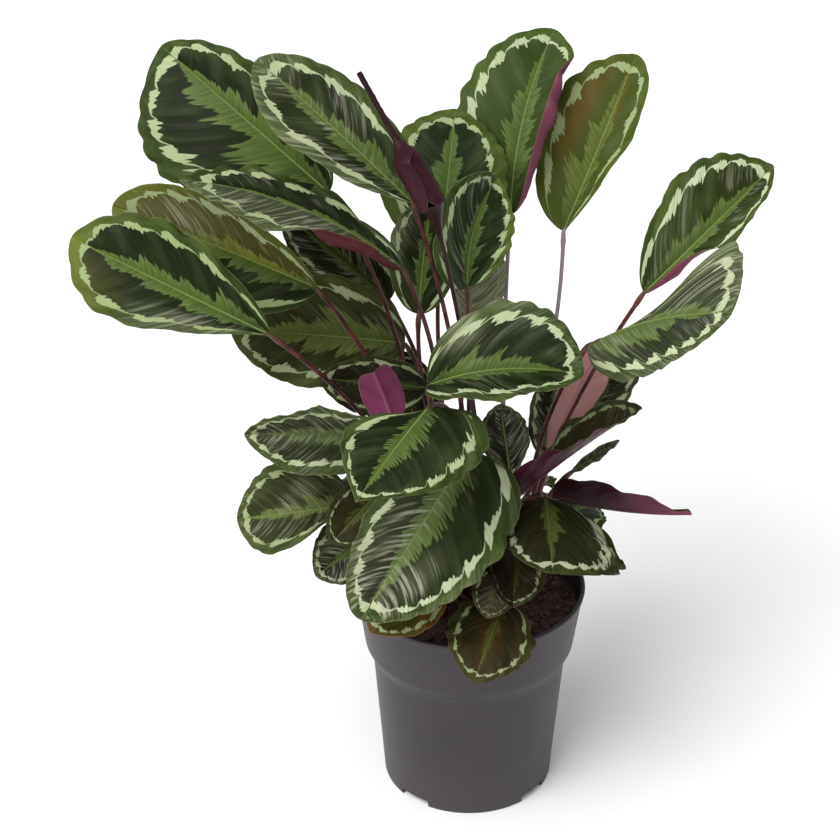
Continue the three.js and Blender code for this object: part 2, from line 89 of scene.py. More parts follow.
def addLight(name, place, aim, spread, power):
    # a far, broad light, so that the whole floor is lit alike
    light = bpy.data.lights.new(name, "SUN")
    light.angle = math.radians(spread)
    light.energy = power
    lamp = bpy.data.objects.new(name, light)
    bpy.context.collection.objects.link(lamp)
    lamp.location = place
    lamp.rotation_euler = (Vector(aim) - Vector(place)).to_track_quat("-Z", "Y").to_euler()


addCamera(studio)
for name, (place, spread, power) in studio["lights"].items():
    addLight(name, place, studio["aimAt"], spread, power)
bpy.context.scene.view_settings.view_transform = "Standard"
world = bpy.data.worlds.new("studioSky")
bpy.context.scene.world = world
world.use_nodes = True
sky = world.node_tree.nodes["Background"].inputs
sky["Color"].default_value = (1, 1, 1, 1)
sky["Strength"].default_value = studio["skyStrength"]
print("camera and lights placed")


# node helpers

def sumOf(operation, turned=False):
    # a sum of wires and numbers, which makes one node
    def work(self, *others):
        values = (*others, self) if turned else (self, *others)
        return self.paint.node("ShaderNodeMath", {"operation": operation}, dict(enumerate(values)))
    return work


class Wire:
    # one output of a node, used in sums like a number
    def __init__(self, paint, socket):
        self.paint = paint
        self.socket = socket

    __add__ = sumOf("ADD")
    __radd__ = sumOf("ADD", turned=True)
    __sub__ = sumOf("SUBTRACT")
    __rsub__ = sumOf("SUBTRACT", turned=True)
    __mul__ = sumOf("MULTIPLY")
    __rmul__ = sumOf("MULTIPLY", turned=True)
    __truediv__ = sumOf("DIVIDE")
    __pow__ = sumOf("POWER")
    __abs__ = sumOf("ABSOLUTE")
    atLeast = sumOf("MAXIMUM")
    fraction = sumOf("FRACT")
    sign = sumOf("SIGN")
    wave = sumOf("SINE")

    def rise(self, low, high):
        # 0 below low, 1 above high, smooth between
        sockets = {"Value": self, "From Min": low, "From Max": high}
        return self.paint.node("ShaderNodeMapRange", {"interpolation_type": "SMOOTHSTEP"}, sockets)


class Paint:
    # one material, the nodes in it, and the colour that is mixed so far
    def __init__(self, name, look, ground):
        self.look = look
        self.colour = self.tint(ground)
        self.material = bpy.data.materials.new(name)
        self.material.use_nodes = True
        self.tree = self.material.node_tree
        self.tree.nodes.clear()

    def node(self, kind, settings=None, sockets=None, out=0):
        made = self.tree.nodes.new(kind)
        for name, value in (settings or {}).items():
            setattr(made, name, value)
        for name, value in (sockets or {}).items():
            if isinstance(value, Wire):
                self.tree.links.new(value.socket, made.inputs[name])
            else:
                made.inputs[name].default_value = value
        return Wire(self, made.outputs[out]) if made.outputs else None

    def parts(self, name):
        # the three numbers of an attribute that the mesh carries
        return self.split(self.node("ShaderNodeAttribute", {"attribute_name": name}, out="Vector"))

    def split(self, vector):
        apart = self.node("ShaderNodeSeparateXYZ", sockets={0: vector})
        return [Wire(self, socket) for socket in apart.socket.node.outputs]

    def join(self, *values):
        return self.node("ShaderNodeCombineXYZ", sockets=dict(enumerate(values)))

    def here(self):
        return self.node("ShaderNodeTexCoord", out="Object")

    def tint(self, colour):
        # a colour of the look by its name, or one that is mixed already
        return hue(*self.look[colour]) if isinstance(colour, str) else colour

    def blend(self, amount, under, over):
        sockets = {0: amount, 6: self.tint(under), 7: self.tint(over)}
        return self.node("ShaderNodeMix", {"data_type": "RGBA"}, sockets, out=2)

    def coat(self, amount, over):
        # one more layer over the colour so far
        self.colour = self.blend(amount, self.colour, over)

    def drift(self, along):
        # a number near 0.5 that wanders as along grows
        sockets = {"W": along, "Scale": 1.0, "Detail": 1.0}
        return self.node("ShaderNodeTexNoise", {"noise_dimensions": "1D"}, sockets)

    def cloud(self, place, scale=1.0, detail=2.0, roughness=0.5):
        place = self.join(*place) if isinstance(place, tuple) else place
        sockets = {"Vector": place, "Scale": scale, "Detail": detail, "Roughness": roughness}
        return self.node("ShaderNodeTexNoise", sockets=sockets)

    def bump(self, height, distance, strength):
        sockets = {"Height": height, "Distance": distance, "Strength": strength}
        return self.node("ShaderNodeBump", sockets=sockets)

    def finish(self, roughness, normal, **plain):
        sockets = {"Base Color": self.colour, "Roughness": roughness, "Normal": normal}
        sockets.update({name.replace("_", " "): value for name, value in plain.items()})
        shader = self.node("ShaderNodeBsdfPrincipled", sockets=sockets)
        self.node("ShaderNodeOutputMaterial", sockets={"Surface": shader})
        return self.material


# what every leaf's upper face shows, with each leaf's own numbers read from its mesh

topLook = {
    "teeth": 27,  # fine teeth of the pattern on each half
    "dark": (12, 23, 12),
    "deep": (38, 52, 28),
    "streakGreen": (84, 104, 68),
    "feather": (76, 98, 44),
    "featherEnd": (96, 116, 68),
    "band": (150, 166, 116),
    "cream": (206, 212, 180),
    "border": (66, 82, 40),
    "borderDark": (38, 54, 26),
    "fresh": (72, 94, 34),
    "lime": (100, 116, 44),
    "olive": (98, 94, 32),
    "yellowFeather": (136, 138, 58),
    "rusty": (116, 76, 36),
    "glare": (170, 165, 152),
    "pale": (160, 165, 132),
    "paintedShadeAndAge": (30, 20, 14),
    "rib": (128, 152, 88),
    "rustRib": (170, 98, 58),
    "margin": (120, 124, 88),
    "rustMargin": (176, 104, 84),
}


def makeLeafTop(look):
    paint = Paint("leafTop", look, "dark")
    run, across, vein = paint.parts("place")
    spread, edge, phase = paint.parts("reach")
    seed, olive, paintedGlare = paint.parts("look")
    feather, band, rust = paint.parts("mark")
    paintedShadeAndAge, pale, fresh = paint.parts("shade")
    combed, cuspSize, bandPlace = paint.parts("drawing")
    cream, stain, lime = paint.parts("touch")
    wide = abs(across)
    lane = seed * 31.7 + across.sign() * 7.3

    # lobes between the main side veins, and finer teeth in them
    lobe = phase.fraction()
    rear = 1 - lobe.rise(0.88, 1.0)
    swing = lobe ** 0.8 * rear
    chunk = lobe.rise(0.12, 0.62) * rear
    cusp = (1 - abs((phase * math.pi).wave())) ** 3
    fraying = (vein * look["teeth"] + paint.drift(vein * 9 + lane) * 3).fraction()
    frayShape = fraying.rise(0, 0.5) * (1 - fraying.rise(0.84, 1.0))
    clump = paint.drift(vein * 4 + lane + 20) - 0.5
    uneven = paint.drift(vein * 19 + lane + 40)
    threads = paint.cloud((vein * 70 + lane, wide * 2.2, lane), detail=1.5)
    loose = threads - 0.5

    # dark zone, with a painted highlight just past each main vein, so that it looks shaded where it dips at
    # the veins
    patch = paint.cloud((vein * 4 + lane, wide * 2.4, seed), detail=1.0)
    greener = (patch + wide * 0.2 + fresh * 0.3).rise(0.56, 0.9)
    paint.coat(greener, "deep")
    paint.coat(fresh * 0.55, "fresh")
    thin = threads.rise(0.56, 0.74)
    paint.coat(thin * 0.13, "streakGreen")
    paintedRidgeLight = lobe.rise(0.04, 0.22) * (1 - lobe.rise(0.22, 0.6))
    paint.coat(paintedRidgeLight * wide.rise(0.1, 0.4) * 0.14, "streakGreen")

    # pale feather on both sides of the midrib
    taper = (1 - vein.atLeast(0) * 1.12).atLeast(0) ** 0.75
    body = vein.rise(-0.32, 0.28) * taper
    lobed = (0.42 + 0.56 * swing + 0.9 * clump) * (0.84 + frayShape * uneven * 0.62)
    even = (0.5 + 0.6 * clump) + frayShape * (uneven + 0.15)
    limit = (feather * body * (lobed + (even - lobed) * combed)).atLeast(0.02)
    reach = wide + loose * 0.04
    inFeather = 1 - reach.rise(limit - 0.012, limit + 0.02 + wide * 0.04)
    inFeather = inFeather * (1 - run).rise(0.07, 0.14)
    outward = (wide / (limit + 0.02)).rise(0.3, 1.0)
    featherColour = paint.blend(outward * 0.75, "feather", "featherEnd")
    featherColour = paint.blend(olive * 0.8, featherColour, "yellowFeather")
    shaded = threads.rise(0.42, 0.66) * 0.34 + (0.3 - run).rise(0, 0.3) * 0.45
    featherColour = paint.blend(shaded, featherColour, "deep")
    paint.coat(inFeather * 0.94, featherColour)

    # border outside the band
    fromTip = (1 - (1 - run) * 2.9).atLeast(0)
    ring = (wide ** 4 + fromTip ** 4) ** 0.25 + loose * 0.016
    middle = bandPlace + (paint.drift(vein * 3 + lane + 80) - 0.5) * 0.1
    middle = middle - cusp * cuspSize * 0.06 + chunk * 0.015
    mottle = paint.cloud((vein * 8 + lane, ring * 5, seed))
    borderColour = paint.blend(mottle.rise(0.36, 0.7), "borderDark", "border")
    borderColour = paint.blend(fresh * 0.8, borderColour, "fresh")
    borderColour = paint.blend(lime * (0.5 + mottle * 0.8), borderColour, "lime")
    paint.coat(ring.rise(middle, middle + 0.03), borderColour)
    paint.coat(olive * 0.6 * (1 - inFeather * 0.8), "olive")
    rusted = (rust.rise(0.2, 0.9) * patch.rise(0.35, 0.6)).atLeast(stain)
    paint.coat(rusted * 0.6 * (1 - inFeather * 0.7), "rusty")

    # jagged cream band, broad in each lobe and thin between them
    size = chunk * (0.5 + paint.drift(phase * 1.1 + lane + 120) - 0.28).atLeast(0)
    fray = frayShape * (uneven - 0.2).atLeast(0) * (0.25 + chunk)
    inner = middle - (0.008 + size * 0.088 + fray * 0.13) * band
    outer = middle + (0.01 + size * 0.034 + fray * 0.06) * band
    inBand = ring.rise(inner - 0.01, inner + 0.01)
    inBand = inBand * (1 - ring.rise(outer - 0.01, outer + 0.01))
    inBand = inBand * run.rise(0.01, 0.06)
    bandColour = paint.blend(cream * (0.7 + loose), "band", "cream")
    paint.coat(inBand * 0.94, bandColour)

    # painted glare: grey highlight streaks where the raised veins would catch the light, in groups
    groups = paint.cloud((phase * 0.8 + lane, wide * 1.4, lane + 5), detail=1.0)
    lines = paint.cloud((vein * 52 + lane, wide * 1.3, lane + 9), detail=3.0)
    drawn = lines.rise(0.46, 0.68)
    shine = (groups + paintedGlare * 0.1).rise(0.5, 0.64) * drawn * paintedGlare
    shine = shine * wide.rise(0.03, 0.14) * (1 - wide.rise(0.8, 0.95) * 0.6)
    paint.coat(shine * 0.62, "glare")
    # painted sheen: pale patches along the vein lines where the surface would reflect the light
    paint.coat(pale * (0.25 + drawn * 0.85), "pale")

    # midrib and margin
    ribWide = 0.8 - run * 0.6
    inRib = 1 - spread.rise(ribWide * 0.5, ribWide * 1.2)
    ribColour = paint.blend(rust, "rib", "rustRib")
    paint.coat(inRib * (0.8 - run * 0.4), ribColour)
    inMargin = 1 - edge.rise(0.2, 0.7)
    marginColour = paint.blend(rust, "margin", "rustMargin")
    paint.coat(inMargin * 0.6, marginColour)
    # painted shade on leaves deep in the plant, mixed with the darker colour of old leaves; the band keeps
    # some of its light
    paint.coat(paintedShadeAndAge * (1 - inBand * 0.45), "paintedShadeAndAge")

    fine = paint.cloud((vein * 110, wide * 3, lane), detail=1.0)
    pores = paint.cloud(paint.here(), scale=1600, detail=1.0)
    normal = paint.bump(fine + lines * 0.8 + pores * 0.3, 0.00018, 0.8)
    roughness = 0.43 + (threads - 0.5) * 0.2 - shine * 0.1
    return paint.finish(roughness, normal, Specular_IOR_Level=0.07)


backLook = {
    "wine": (92, 37, 54),
    "wineDark": (62, 24, 35),
    "magenta": (118, 52, 86),
    "maroon": (34, 12, 16),
    "pale": (158, 117, 113),
    "ruddy": (74, 31, 31),
    "rib": (134, 82, 96),
    "margin": (112, 96, 72),
}


def makeLeafBack(look):
    paint = Paint("leafBack", look, "wine")
    run, across, vein = paint.parts("place")
    spread, edge = paint.parts("reach")[:2]
    magenta, dark, pale = paint.parts("tone")
    ruddy = paint.parts("under")[0]
    seed = paint.parts("look")[0]
    wide = abs(across)
    lane = across.sign() * 5.7 + seed * 3.1

    threads = paint.cloud((vein * 60 + lane, wide * 2.0, lane))
    patch = paint.cloud((vein * 5 + lane, wide * 2.4, 3.0), detail=1.0)
    paint.coat(patch.rise(0.3, 0.7), "wineDark")
    paint.coat(magenta * (1 - patch.rise(0.45, 0.75) * 0.35), "magenta")
    paint.coat(pale, "pale")
    paint.coat(ruddy, "ruddy")
    paint.coat(dark, "maroon")
    veins = 1 - abs((vein * 24).fraction() * 2 - 1)
    raised = veins.rise(0.78, 1.0)
    light = raised * 0.08 + threads.rise(0.52, 0.72) * 0.1
    paint.coat(light * (1 - dark * 0.7), "rib")
    inRib = 1 - spread.rise(0.7, 1.9 - run)
    paint.coat(inRib * (0.55 - dark * 0.45), "rib")
    inMargin = 1 - edge.rise(0.3, 0.9)
    paint.coat(inMargin * (0.6 - dark * 0.55), "margin")

    fine = paint.cloud((vein * 110, wide * 3, lane), detail=1.0)
    normal = paint.bump(fine + raised * 0.6, 0.0002, 0.8)
    roughness = 0.4 + (threads - 0.5) * 0.25
    return paint.finish(roughness, normal, Specular_IOR_Level=0.14)


leafTop = makeLeafTop(topLook)
leafBack = makeLeafBack(backLook)
print("leaf materials mixed")


# leaves, in millimetres: where the blade starts and ends, its half widths, which way it faces
# (turn from the front, lift), and how its halves fold up from the midrib; where a pair stands
# for one number, it is for the left half and the right half; dabs are soft patches

shoots = {  # where each stands, and its leaves
    "front": ((8, -34), "11 17 18 28 29 30 37"),
    "front_left": ((-26, -24), "03 04 05 16 19 21 22 34"),
    "left": ((-38, 8), "01 06 20 38 43"),
    "middle": ((-4, 2), "02 09 10 32 33"),
    "back_left": ((-14, 36), "07 08 35 40 41"),
    "back_right": ((22, 30), "12 13 36 39 42 44"),
    "right": ((36, -8), "14 15 23 24 25 26 27"),
}

leaves = {
    "01": dict(base=(-110, 15, 526), tip=(-237, 75, 620), half=(74, 38), face=(-5, 30), fold=(0, 20),
        widest=(0.62, 0.5), lead=(-0.5, 0, 0.85), feather=0.56, paintedGlare=0.04, cream=0.4),
    "02": dict(base=(-47, -20, 533), tip=(-160, 12, 632), half=(37, 38), face=(0, 30), fold=(38, 35),
        widest=(0.64, 0.5), lead=(-0.3, 0, 0.9), feather=0.5, paintedGlare=0.6, pale=0.06,
        paleDabs=((0.55, -1, 0.6, 0.28, 0.6), (0.92, 0, 0.14, 1, 0.5), (0.55, 0, 0.5, 0.22, 0.35)),
        bandPlace=0.74, crimp=1.3, cream=0.6),
    "03": dict(base=(-54, -45, 491), tip=(-213, -60, 568), half=(42, 35), face=(0, 78), fold=(10, 5),
        lead=(-0.35, -0.1, 0.8), feather=0.16, paintedGlare=(1, 0.3), pale=(0.42, 0), lip=(0, 0.36, 165, 0.62),
        bandPlace=(0.74, 0.7), crimp=1.9, tone=(0, 0.1, 0), ruddy=0.85),
    "04": dict(base=(-119, -20, 463), tip=(-269, -15, 528), half=(46, 42), face=(5, 30), fold=(15, 50),
        widest=(0.5, 0.62), lead=(-0.55, -0.1, 0.8), feather=0.45, paintedGlare=(0.1, 0.5), olive=(0.1, 0.8),
        oliveDabs=((0.86, 0, 0.3, 1.3, 1),), lime=(0, 0.3), limeDabs=((1, 0, 0.3, 1.4, 1),),
        paleDabs=((0.72, 0.35, 0.2, 0.4, 0.5),), cream=0.1),
    "05": dict(base=(-150, -85, 456), tip=(-292, -70, 527), half=(40, 41), face=(-5, 30), fold=(30, 15),
        foldTip=(5, 15), widest=(0.7, 0.62), lead=(-0.7, -0.2, 0.7), feather=0.54, paintedGlare=0.03,
        paintedGlareDabs=((0.3, -0.7, 0.3, 0.4, 0.7),), band=0.75, limeDabs=((1, -0.2, 0.3, 1.2, 1),),
        oliveDabs=((1, -1, 0.35, 1, 0.6),), crimp=1.4, paleDabs=((0.35, -0.85, 0.25, 0.3, 0.5),), cream=0),
    "06": dict(base=(-53, 25, 393), tip=(-188, 12, 410), half=(44, 48), face=(0, 35), fold=(20, 15),
        lead=(-0.5, 0.1, 0.8), feather=0.6, paintedGlare=0.3, olive=0.3, pale=0.05, paintedShadeAndAge=(0, 0.06)),
    "07": dict(base=(-66, 65, 411), tip=(-149, 95, 472), half=(38, 36), face=(0, 35), fold=(50, 40),
        lead=(-0.5, 0.1, 0.9), paintedGlare=0.8, paintedShadeAndAge=0.3),
    "08": dict(base=(-25, 40, 462), tip=(-13, 118, 553), half=(54, 46), face=(0, 40), fold=5, feather=0.45,
        paintedGlare=0.08, fresh=0.1, olive=0.05, bandPlace=0.72, cream=0.2, lime=(0.42, 0.22)),
    "09": dict(base=(-5, 0, 454), tip=(18, 35, 530), half=(44, 31), face=(10, 30), fold=(50, 10), sway=-8,
        feather=0.4, paintedGlare=(0.5, 0.1), olive=0.05, fresh=0.1, lime=(0, 0.55), root=(0.4, 0.5)),
    "10": dict(base=(-42, 5, 429), tip=(-32, 55, 504), half=(28, 32), face=(-10, 30), fold=30, feather=0.4,
        paintedGlare=0.2, paleDabs=((0.6, -0.8, 0.2, 0.3, 0.6),)),
    "11": dict(base=(-33, -65, 554), tip=(-84, -50, 645), half=38, face=(0, 20), fold=10, curl=(165, 185),
        curlTip=(980, 1020), change=(0.36, 0.6), closed=200, root=0.18, widest=(0.3, 0.3), point=1, arch=2,
        wave=0.6, least=6.5, crimp=0.3, band=0.2, feather=0.1, lead=(-0.22, -0.25, 1), funnel=(7.5, 36),
        stalkDark=0.95, paintedShadeAndAge=0.9, tone=(0.3, 0.75, 0), toneTip=(0, 0.95, 0)),
    "12": dict(base=(31, 90, 475), tip=(66, 160, 604), half=(53, 43), fold=(0, 20), curl=(-16, 60),
        curlTip=(-16, 10), lip=(1, 0.48, 145, 0.98), widest=(0.5, 0.56), sway=-8, lead=(0.05, 0, 1),
        paintedGlare=0.06, fresh=0.6, mauve=0.8, tone=(0.45, 0, 0.1), cream=0.6),
    "13": dict(base=(74, 95, 458), tip=(132, 160, 583), half=(50, 27), fold=(5, 45), widest=(0.5, 0.66),
        lead=(0, 0.1, 1), reach=0.5, feather=0.5, paintedGlare=0.06, olive=0.36,
        stainDabs=((0.62, -0.55, 0.3, 0.22, 0.75), (0.72, 0.08, 0.25, 0.12, 0.8)), fresh=0.85, mauve=0.85,
        bandPlace=0.74, crimp=1.6, cream=0.1),
    "14": dict(base=(131, 5, 447), tip=(231, 55, 531), half=(46, 24), fold=(10, 30), curl=(-16, 40),
        curlTip=(-16, 30), lip=(1, 0.6, 165, 0.5), widest=(0.58, 0.5), point=0.8, lead=(0.5, 0.1, 0.8),
        feather=0.45, paintedGlare=0.4, fresh=0.25, olive=0.15, crimp=1.3, tone=(0.4, 0, 0.1), cream=0.9),
    "15": dict(base=(86, -35, 422), tip=(188, -70, 467), half=(50, 40), fold=(5, 20), root=(1.5, 0.5),
        widest=(0.82, 0.42), sweep=(0.5, -0.2), sway=-7, lead=(0.4, -0.3, 0.85), feather=0.62,
        paintedGlare=(0.9, 0.4), pale=(0.26, 0.06), crimp=1.5, cusp=(1.2, 2.4), cream=0.8,
        paleDabs=((0.1, 0.4, 0.14, 0.6, 0.5), (0.8, -0.9, 0.3, 0.35, 0.55), (0.5, 1, 0.6, 0.16, 0.4))),
    "16": dict(base=(-35, -68, 405), tip=(79, -92, 427), half=(51, 44), face=(0, 35), fold=(10, 62),
        sway=-7, widest=(0.56, 0.5), lead=(-0.1, -0.5, 0.9), feather=(0.42, 0.5), paintedGlare=0.3,
        paleDabs=((0.28, -0.8, 0.12, 0.3, 0.95), (0.55, -1, 0.14, 0.13, 0.6)), crimp=1.2, cream=0.6),
    "17": dict(base=(-35, -100, 404), tip=(-87, -175, 368), half=(56, 37), face=(0, 40), fold=(28, 10),
        foldTip=(0, 10), widest=(0.45, 0.58), sweep=(-0.44, 0.05), point=1.1, root=(0.42, 1.1), tipEase=9,
        lead=(-0.35, -0.85, 0.2), feather=0.31, combed=1, paintedGlare=0.05, band=0.8, cusp=1.7, bandPlace=0.8,
        crimp=1.3),
    "18": dict(base=(-3, -62, 346), tip=(-86, -140, 243), half=(62, 42), fold=(4, 25), widest=(0.44, 0.5),
        sweep=(-0.28, 0), point=0.5, root=(0.36, 0.5), lead=(-0.2, -0.5, 0.8), feather=0.34, combed=0.6,
        paintedGlare=(0.25, 1.1), cream=0.8, fresh=(0.1, 0), paintedGlareDabs=((0.7, -0.45, 0.34, 0.42, 1.6),
        (0.42, -0.3, 0.2, 0.2, 1.1)), paleDabs=((0.8, -1, 0.3, 0.14, 0.4), (0.5, 0, 0.6, 0.12, 0.5),
        (0.7, -0.35, 0.16, 0.2, 0.45), (0.5, 0.5, 0.4, 0.5, 0.26)), band=(0.85, 1), crimp=1.3),
    "19": dict(base=(-75, -62, 358), tip=(-172, -90, 376), half=(38, 32), face=(0, 40), fold=(30, 75),
        lead=(-0.6, -0.3, 0.7), paintedGlare=0.6, pale=0.12, crimp=1.3, cream=0.7,
        paleDabs=((0.5, 0, 0.7, 0.3, 0.8), (0.4, 0.7, 0.4, 0.4, 0.4))),
    "20": dict(base=(-94, -60, 296), tip=(-181, -85, 298), half=(30, 42), fold=(20, 10),
        widest=(0.74, 0.5), lead=(-0.6, -0.6, 0.4), feather=0.4, paintedGlare=0.5, pale=0.1,
        paleDabs=((0.4, 0.4, 0.14, 0.2, 0.8), (0.4, 0, 0.5, 0.2, 0.5)), crimp=1.2, cream=0.2, band=0.8,
        olive=0.25),
    "21": dict(base=(-68, -48, 273), tip=(-122, -82, 244), half=(26, 28), fold=15, paintedGlare=1, paintedShadeAndAge=0.3,
        paleDabs=((0.5, 0.5, 0.3, 0.3, 0.5),)),
    "22": dict(base=(-68, -78, 325), tip=(-108, -108, 291), half=22, fold=15, olive=0.4, paintedShadeAndAge=0.6,
        band=0.5),
    "23": dict(base=(57, -42, 291), tip=(59, -125, 275), half=(72, 38), face=(0, 60), fold=(-12, 5),
        curl=(-46, -20), sweep=(0.04, 0), root=(0.34, 0.5), point=(0.5, 0.6), feather=0.2, olive=0.2,
        paintedShadeAndAge=(0.3, 0.45), rust=0.15, band=1.1, bandPlace=(0.74, 0.8), crimp=1.6, cream=1),
    "24": dict(base=(63, -30, 285), tip=(171, -55, 284), half=(17, 31), face=(0, 85), fold=(82, 74),
        curl=0, widest=(0.28, 0.24), point=1.3, root=0.4, arch=-5, least=5, crimp=0.3, tone=(0, 1.5, 0),
        toneTip=(0.8, 0, 0.06), paintedShadeAndAge=0.7),
    "25": dict(base=(38, -40, 294), tip=(130, -35, 368), half=(30, 38), face=(0, 75), fold=(0, 80),
        foldTip=(0, 40), curl=0, widest=(0.6, 0.3), arch=3, tone=(0.3, 0.75, 0), toneTip=(0.3, 0.4, 0),
        olive=0.4, paintedShadeAndAge=0.5, paintedGlare=0.6, band=0.8, cream=0),
    "26": dict(base=(62, 15, 297), tip=(106, 40, 390), half=(20, 16), face=(180, -20), fold=20,
        widest=(0.6, 0.6), tone=(0.1, 0.2, 0.95), toneTip=(0, 0, 1)),
    "27": dict(base=(81, 5, 287), tip=(119, 15, 311), half=5, face=(0, 40), fold=30, paintedGlare=1, pale=0.4,
        band=0.2, paintedShadeAndAge=0.3),
    "28": dict(base=(27, -50, 198), tip=(1, -118, 169), half=35, face=(0, 50), fold=5, arch=12,
        feather=0.24, olive=0.2, rust=0.45, stainDabs=((0.5, 0, 0.5, 0.3, 0.7),), paintedShadeAndAge=0.4, band=0.65,
        crimp=1.6),
    "29": dict(base=(23, -45, 226), tip=(11, -85, 207), half=18, fold=5, olive=0.3, rust=0.5, paintedShadeAndAge=0.35,
        paintedGlare=1, pale=0.15, band=0.7, paleDabs=((0.75, 0, 0.3, 0.7, 0.8),)),
    "30": dict(base=(32, -48, 251), tip=(31, -100, 227), half=26, fold=(5, 40), olive=0.3, rust=0.4,
        paintedShadeAndAge=(0.6, 0.9), paintedGlare=0.5, band=(0.8, 0.2), tone=(0, 0.8, 0)),
    "32": dict(base=(32, 25, 277), tip=(24, 55, 322), half=20, fold=10, feather=0.1, paintedGlare=1.2, paintedShadeAndAge=0.2,
        band=0.1),
    "33": dict(base=(-37, -15, 375), tip=(-118, -45, 399), half=(26, 22), fold=(10, 30),
        lead=(-0.3, -0.2, 0.9), feather=0.3, paintedGlare=0.5, paintedShadeAndAge=0.6),
    "34": dict(base=(-61, -96, 391), tip=(-75, -94, 430), half=(17, 16), face=(180, -20), fold=(38, 16),
        arch=3, point=0.16, root=0.2, crimp=0.3, wave=0.6, lead=(-0.15, -0.35, 0.9), tone=(0.9, 0.16, 0)),
    "35": dict(base=(-2, 60, 387), tip=(4, 110, 452), half=(14, 27), face=(0, 20), fold=10, feather=0.1,
        band=0.3, paintedGlare=0.4, olive=0.15, pale=1.5),
    "36": dict(base=(88, 40, 310), tip=(130, 65, 380), half=(22, 23), face=(0, 20), fold=10, paintedShadeAndAge=0.5,
        paintedGlare=0.9),
    "37": dict(base=(-25, -55, 214), tip=(-80, -110, 211), half=26, face=(0, 60), fold=5, rust=1,
        olive=0.5),
    "38": dict(base=(-45, 25, 305), tip=(-56, 45, 376), half=26, face=(0, 20), fold=20, paintedShadeAndAge=0.7,
        band=0.6),
    "39": dict(base=(64, 45, 275), tip=(70, 75, 341), half=20, face=(0, 20), fold=20, paintedShadeAndAge=0.5, paintedGlare=1),
    "40": dict(base=(-48, 60, 262), tip=(-112, 132, 255), half=(42, 38), face=(210, 60), fold=10),
    "41": dict(base=(0, 75, 270), tip=(-5, 168, 240), half=(44, 42), face=(180, 55), fold=5),
    "42": dict(base=(18, 70, 228), tip=(50, 150, 200), half=(40, 42), face=(160, 55), fold=(10, 5)),
    "43": dict(base=(-60, 30, 240), tip=(-130, 70, 225), half=36, face=(240, 60), fold=10,
        lead=(-0.7, 0.3, 0.5)),
    "44": dict(base=(55, 45, 205), tip=(110, 95, 200), half=(36, 34), face=(120, 60), fold=(5, 10)),
}

leafMake = {
    "rowStep": 1.7,  # along the midrib
    "rows": (34, 104),
    "columnsEachSide": 14,
    "thickness": 0.7,
    "ribDepth": 1.3,
    "ribWidth": 1.5,
    "grooveDepth": 0.45,  # over the midrib
    "grooveWidth": 1.3,
    "lobes": 5.6,  # swellings between the main side veins, along each half
    "swelling": 3,  # how far they stand out at the margin
    "scallop": 0.045,  # and how far they bulge sideways, as a share of the half width
    "quilting": 0.32,  # height of the small waves between side veins
    "quilts": 3,  # in each lobe
    "archShare": 0.09,
    "droop": -16,
    "wave": 2.5,
    "waveShift": 0.37,
    "wavesAlong": 2.6,
    "tipPoint": 0.66,
    "basePoint": 0.5,
}


def unit(vectors):
    return vectors / np.linalg.norm(vectors, axis=-1, keepdims=True)


def bladeFrame(leaf):
    base = np.array(leaf["base"], float)
    tip = np.array(leaf["tip"], float)
    axis = unit(tip - base)
    turn, lift = (math.radians(angle) for angle in leaf.get("face", (0, 30)))
    up = np.array((math.sin(turn) * math.cos(lift), -math.cos(turn) * math.cos(lift), math.sin(lift)))
    up = unit(up - axis * (up @ axis))
    length = np.linalg.norm(tip - base)
    middle = (base + tip) / 2 + up * 2 * leaf.get("arch", length * leafMake["archShare"])
    middle = middle + np.cross(axis, up) * 2 * leaf.get("sway", 0)
    return base, middle, tip, up


def halves(leaf, u, key, plain=0):
    # a leaf's own number, which may differ between its left and its right half
    value = leaf.get(key, plain)
    return np.where(u < 0, *value) if isinstance(value, tuple) else value


def veinPhase(vein, ripple, side):
    # counts the lobes between the main side veins, not quite evenly
    return leafMake["lobes"] * vein + 0.3 * np.sin(3.3 * vein + ripple) + 0.37 * side + ripple


def halfWidth(leaf, s, u, ripple):
    # from the midrib to the margin, which bulges a little at each lobe
    make = leafMake
    widest = leaf.get("widest", (0.5, 0.5))
    power = np.where(u < 0, *(math.log(0.5) / math.log(place) for place in widest))
    root = halves(leaf, u, "root", make["basePoint"])
    point = halves(leaf, u, "point", make["tipPoint"])
    round_ = root + (point - root) * s ** leaf.get("tipEase", 4)
    share = np.sin(np.pi * s ** power).clip(0) ** round_
    half = halves(leaf, u, "half") * share
    least = leaf.get("least", 0) * np.clip((1 - s) / 0.02, 0, 1) ** 0.5 * np.clip(s / 0.1, 0, 1)
    half = np.maximum(half, least)
    length = np.linalg.norm(np.subtract(leaf["tip"], leaf["base"]))
    lobes = veinPhase(s - half / length * 1.1, ripple, np.sign(u))
    bulge = make["scallop"] * (np.abs(np.sin(np.pi * lobes)) - 0.62) * leaf.get("crimp", 1)
    return half * (1 + bulge + 0.006 * np.sin(s * 83 + ripple * 3))


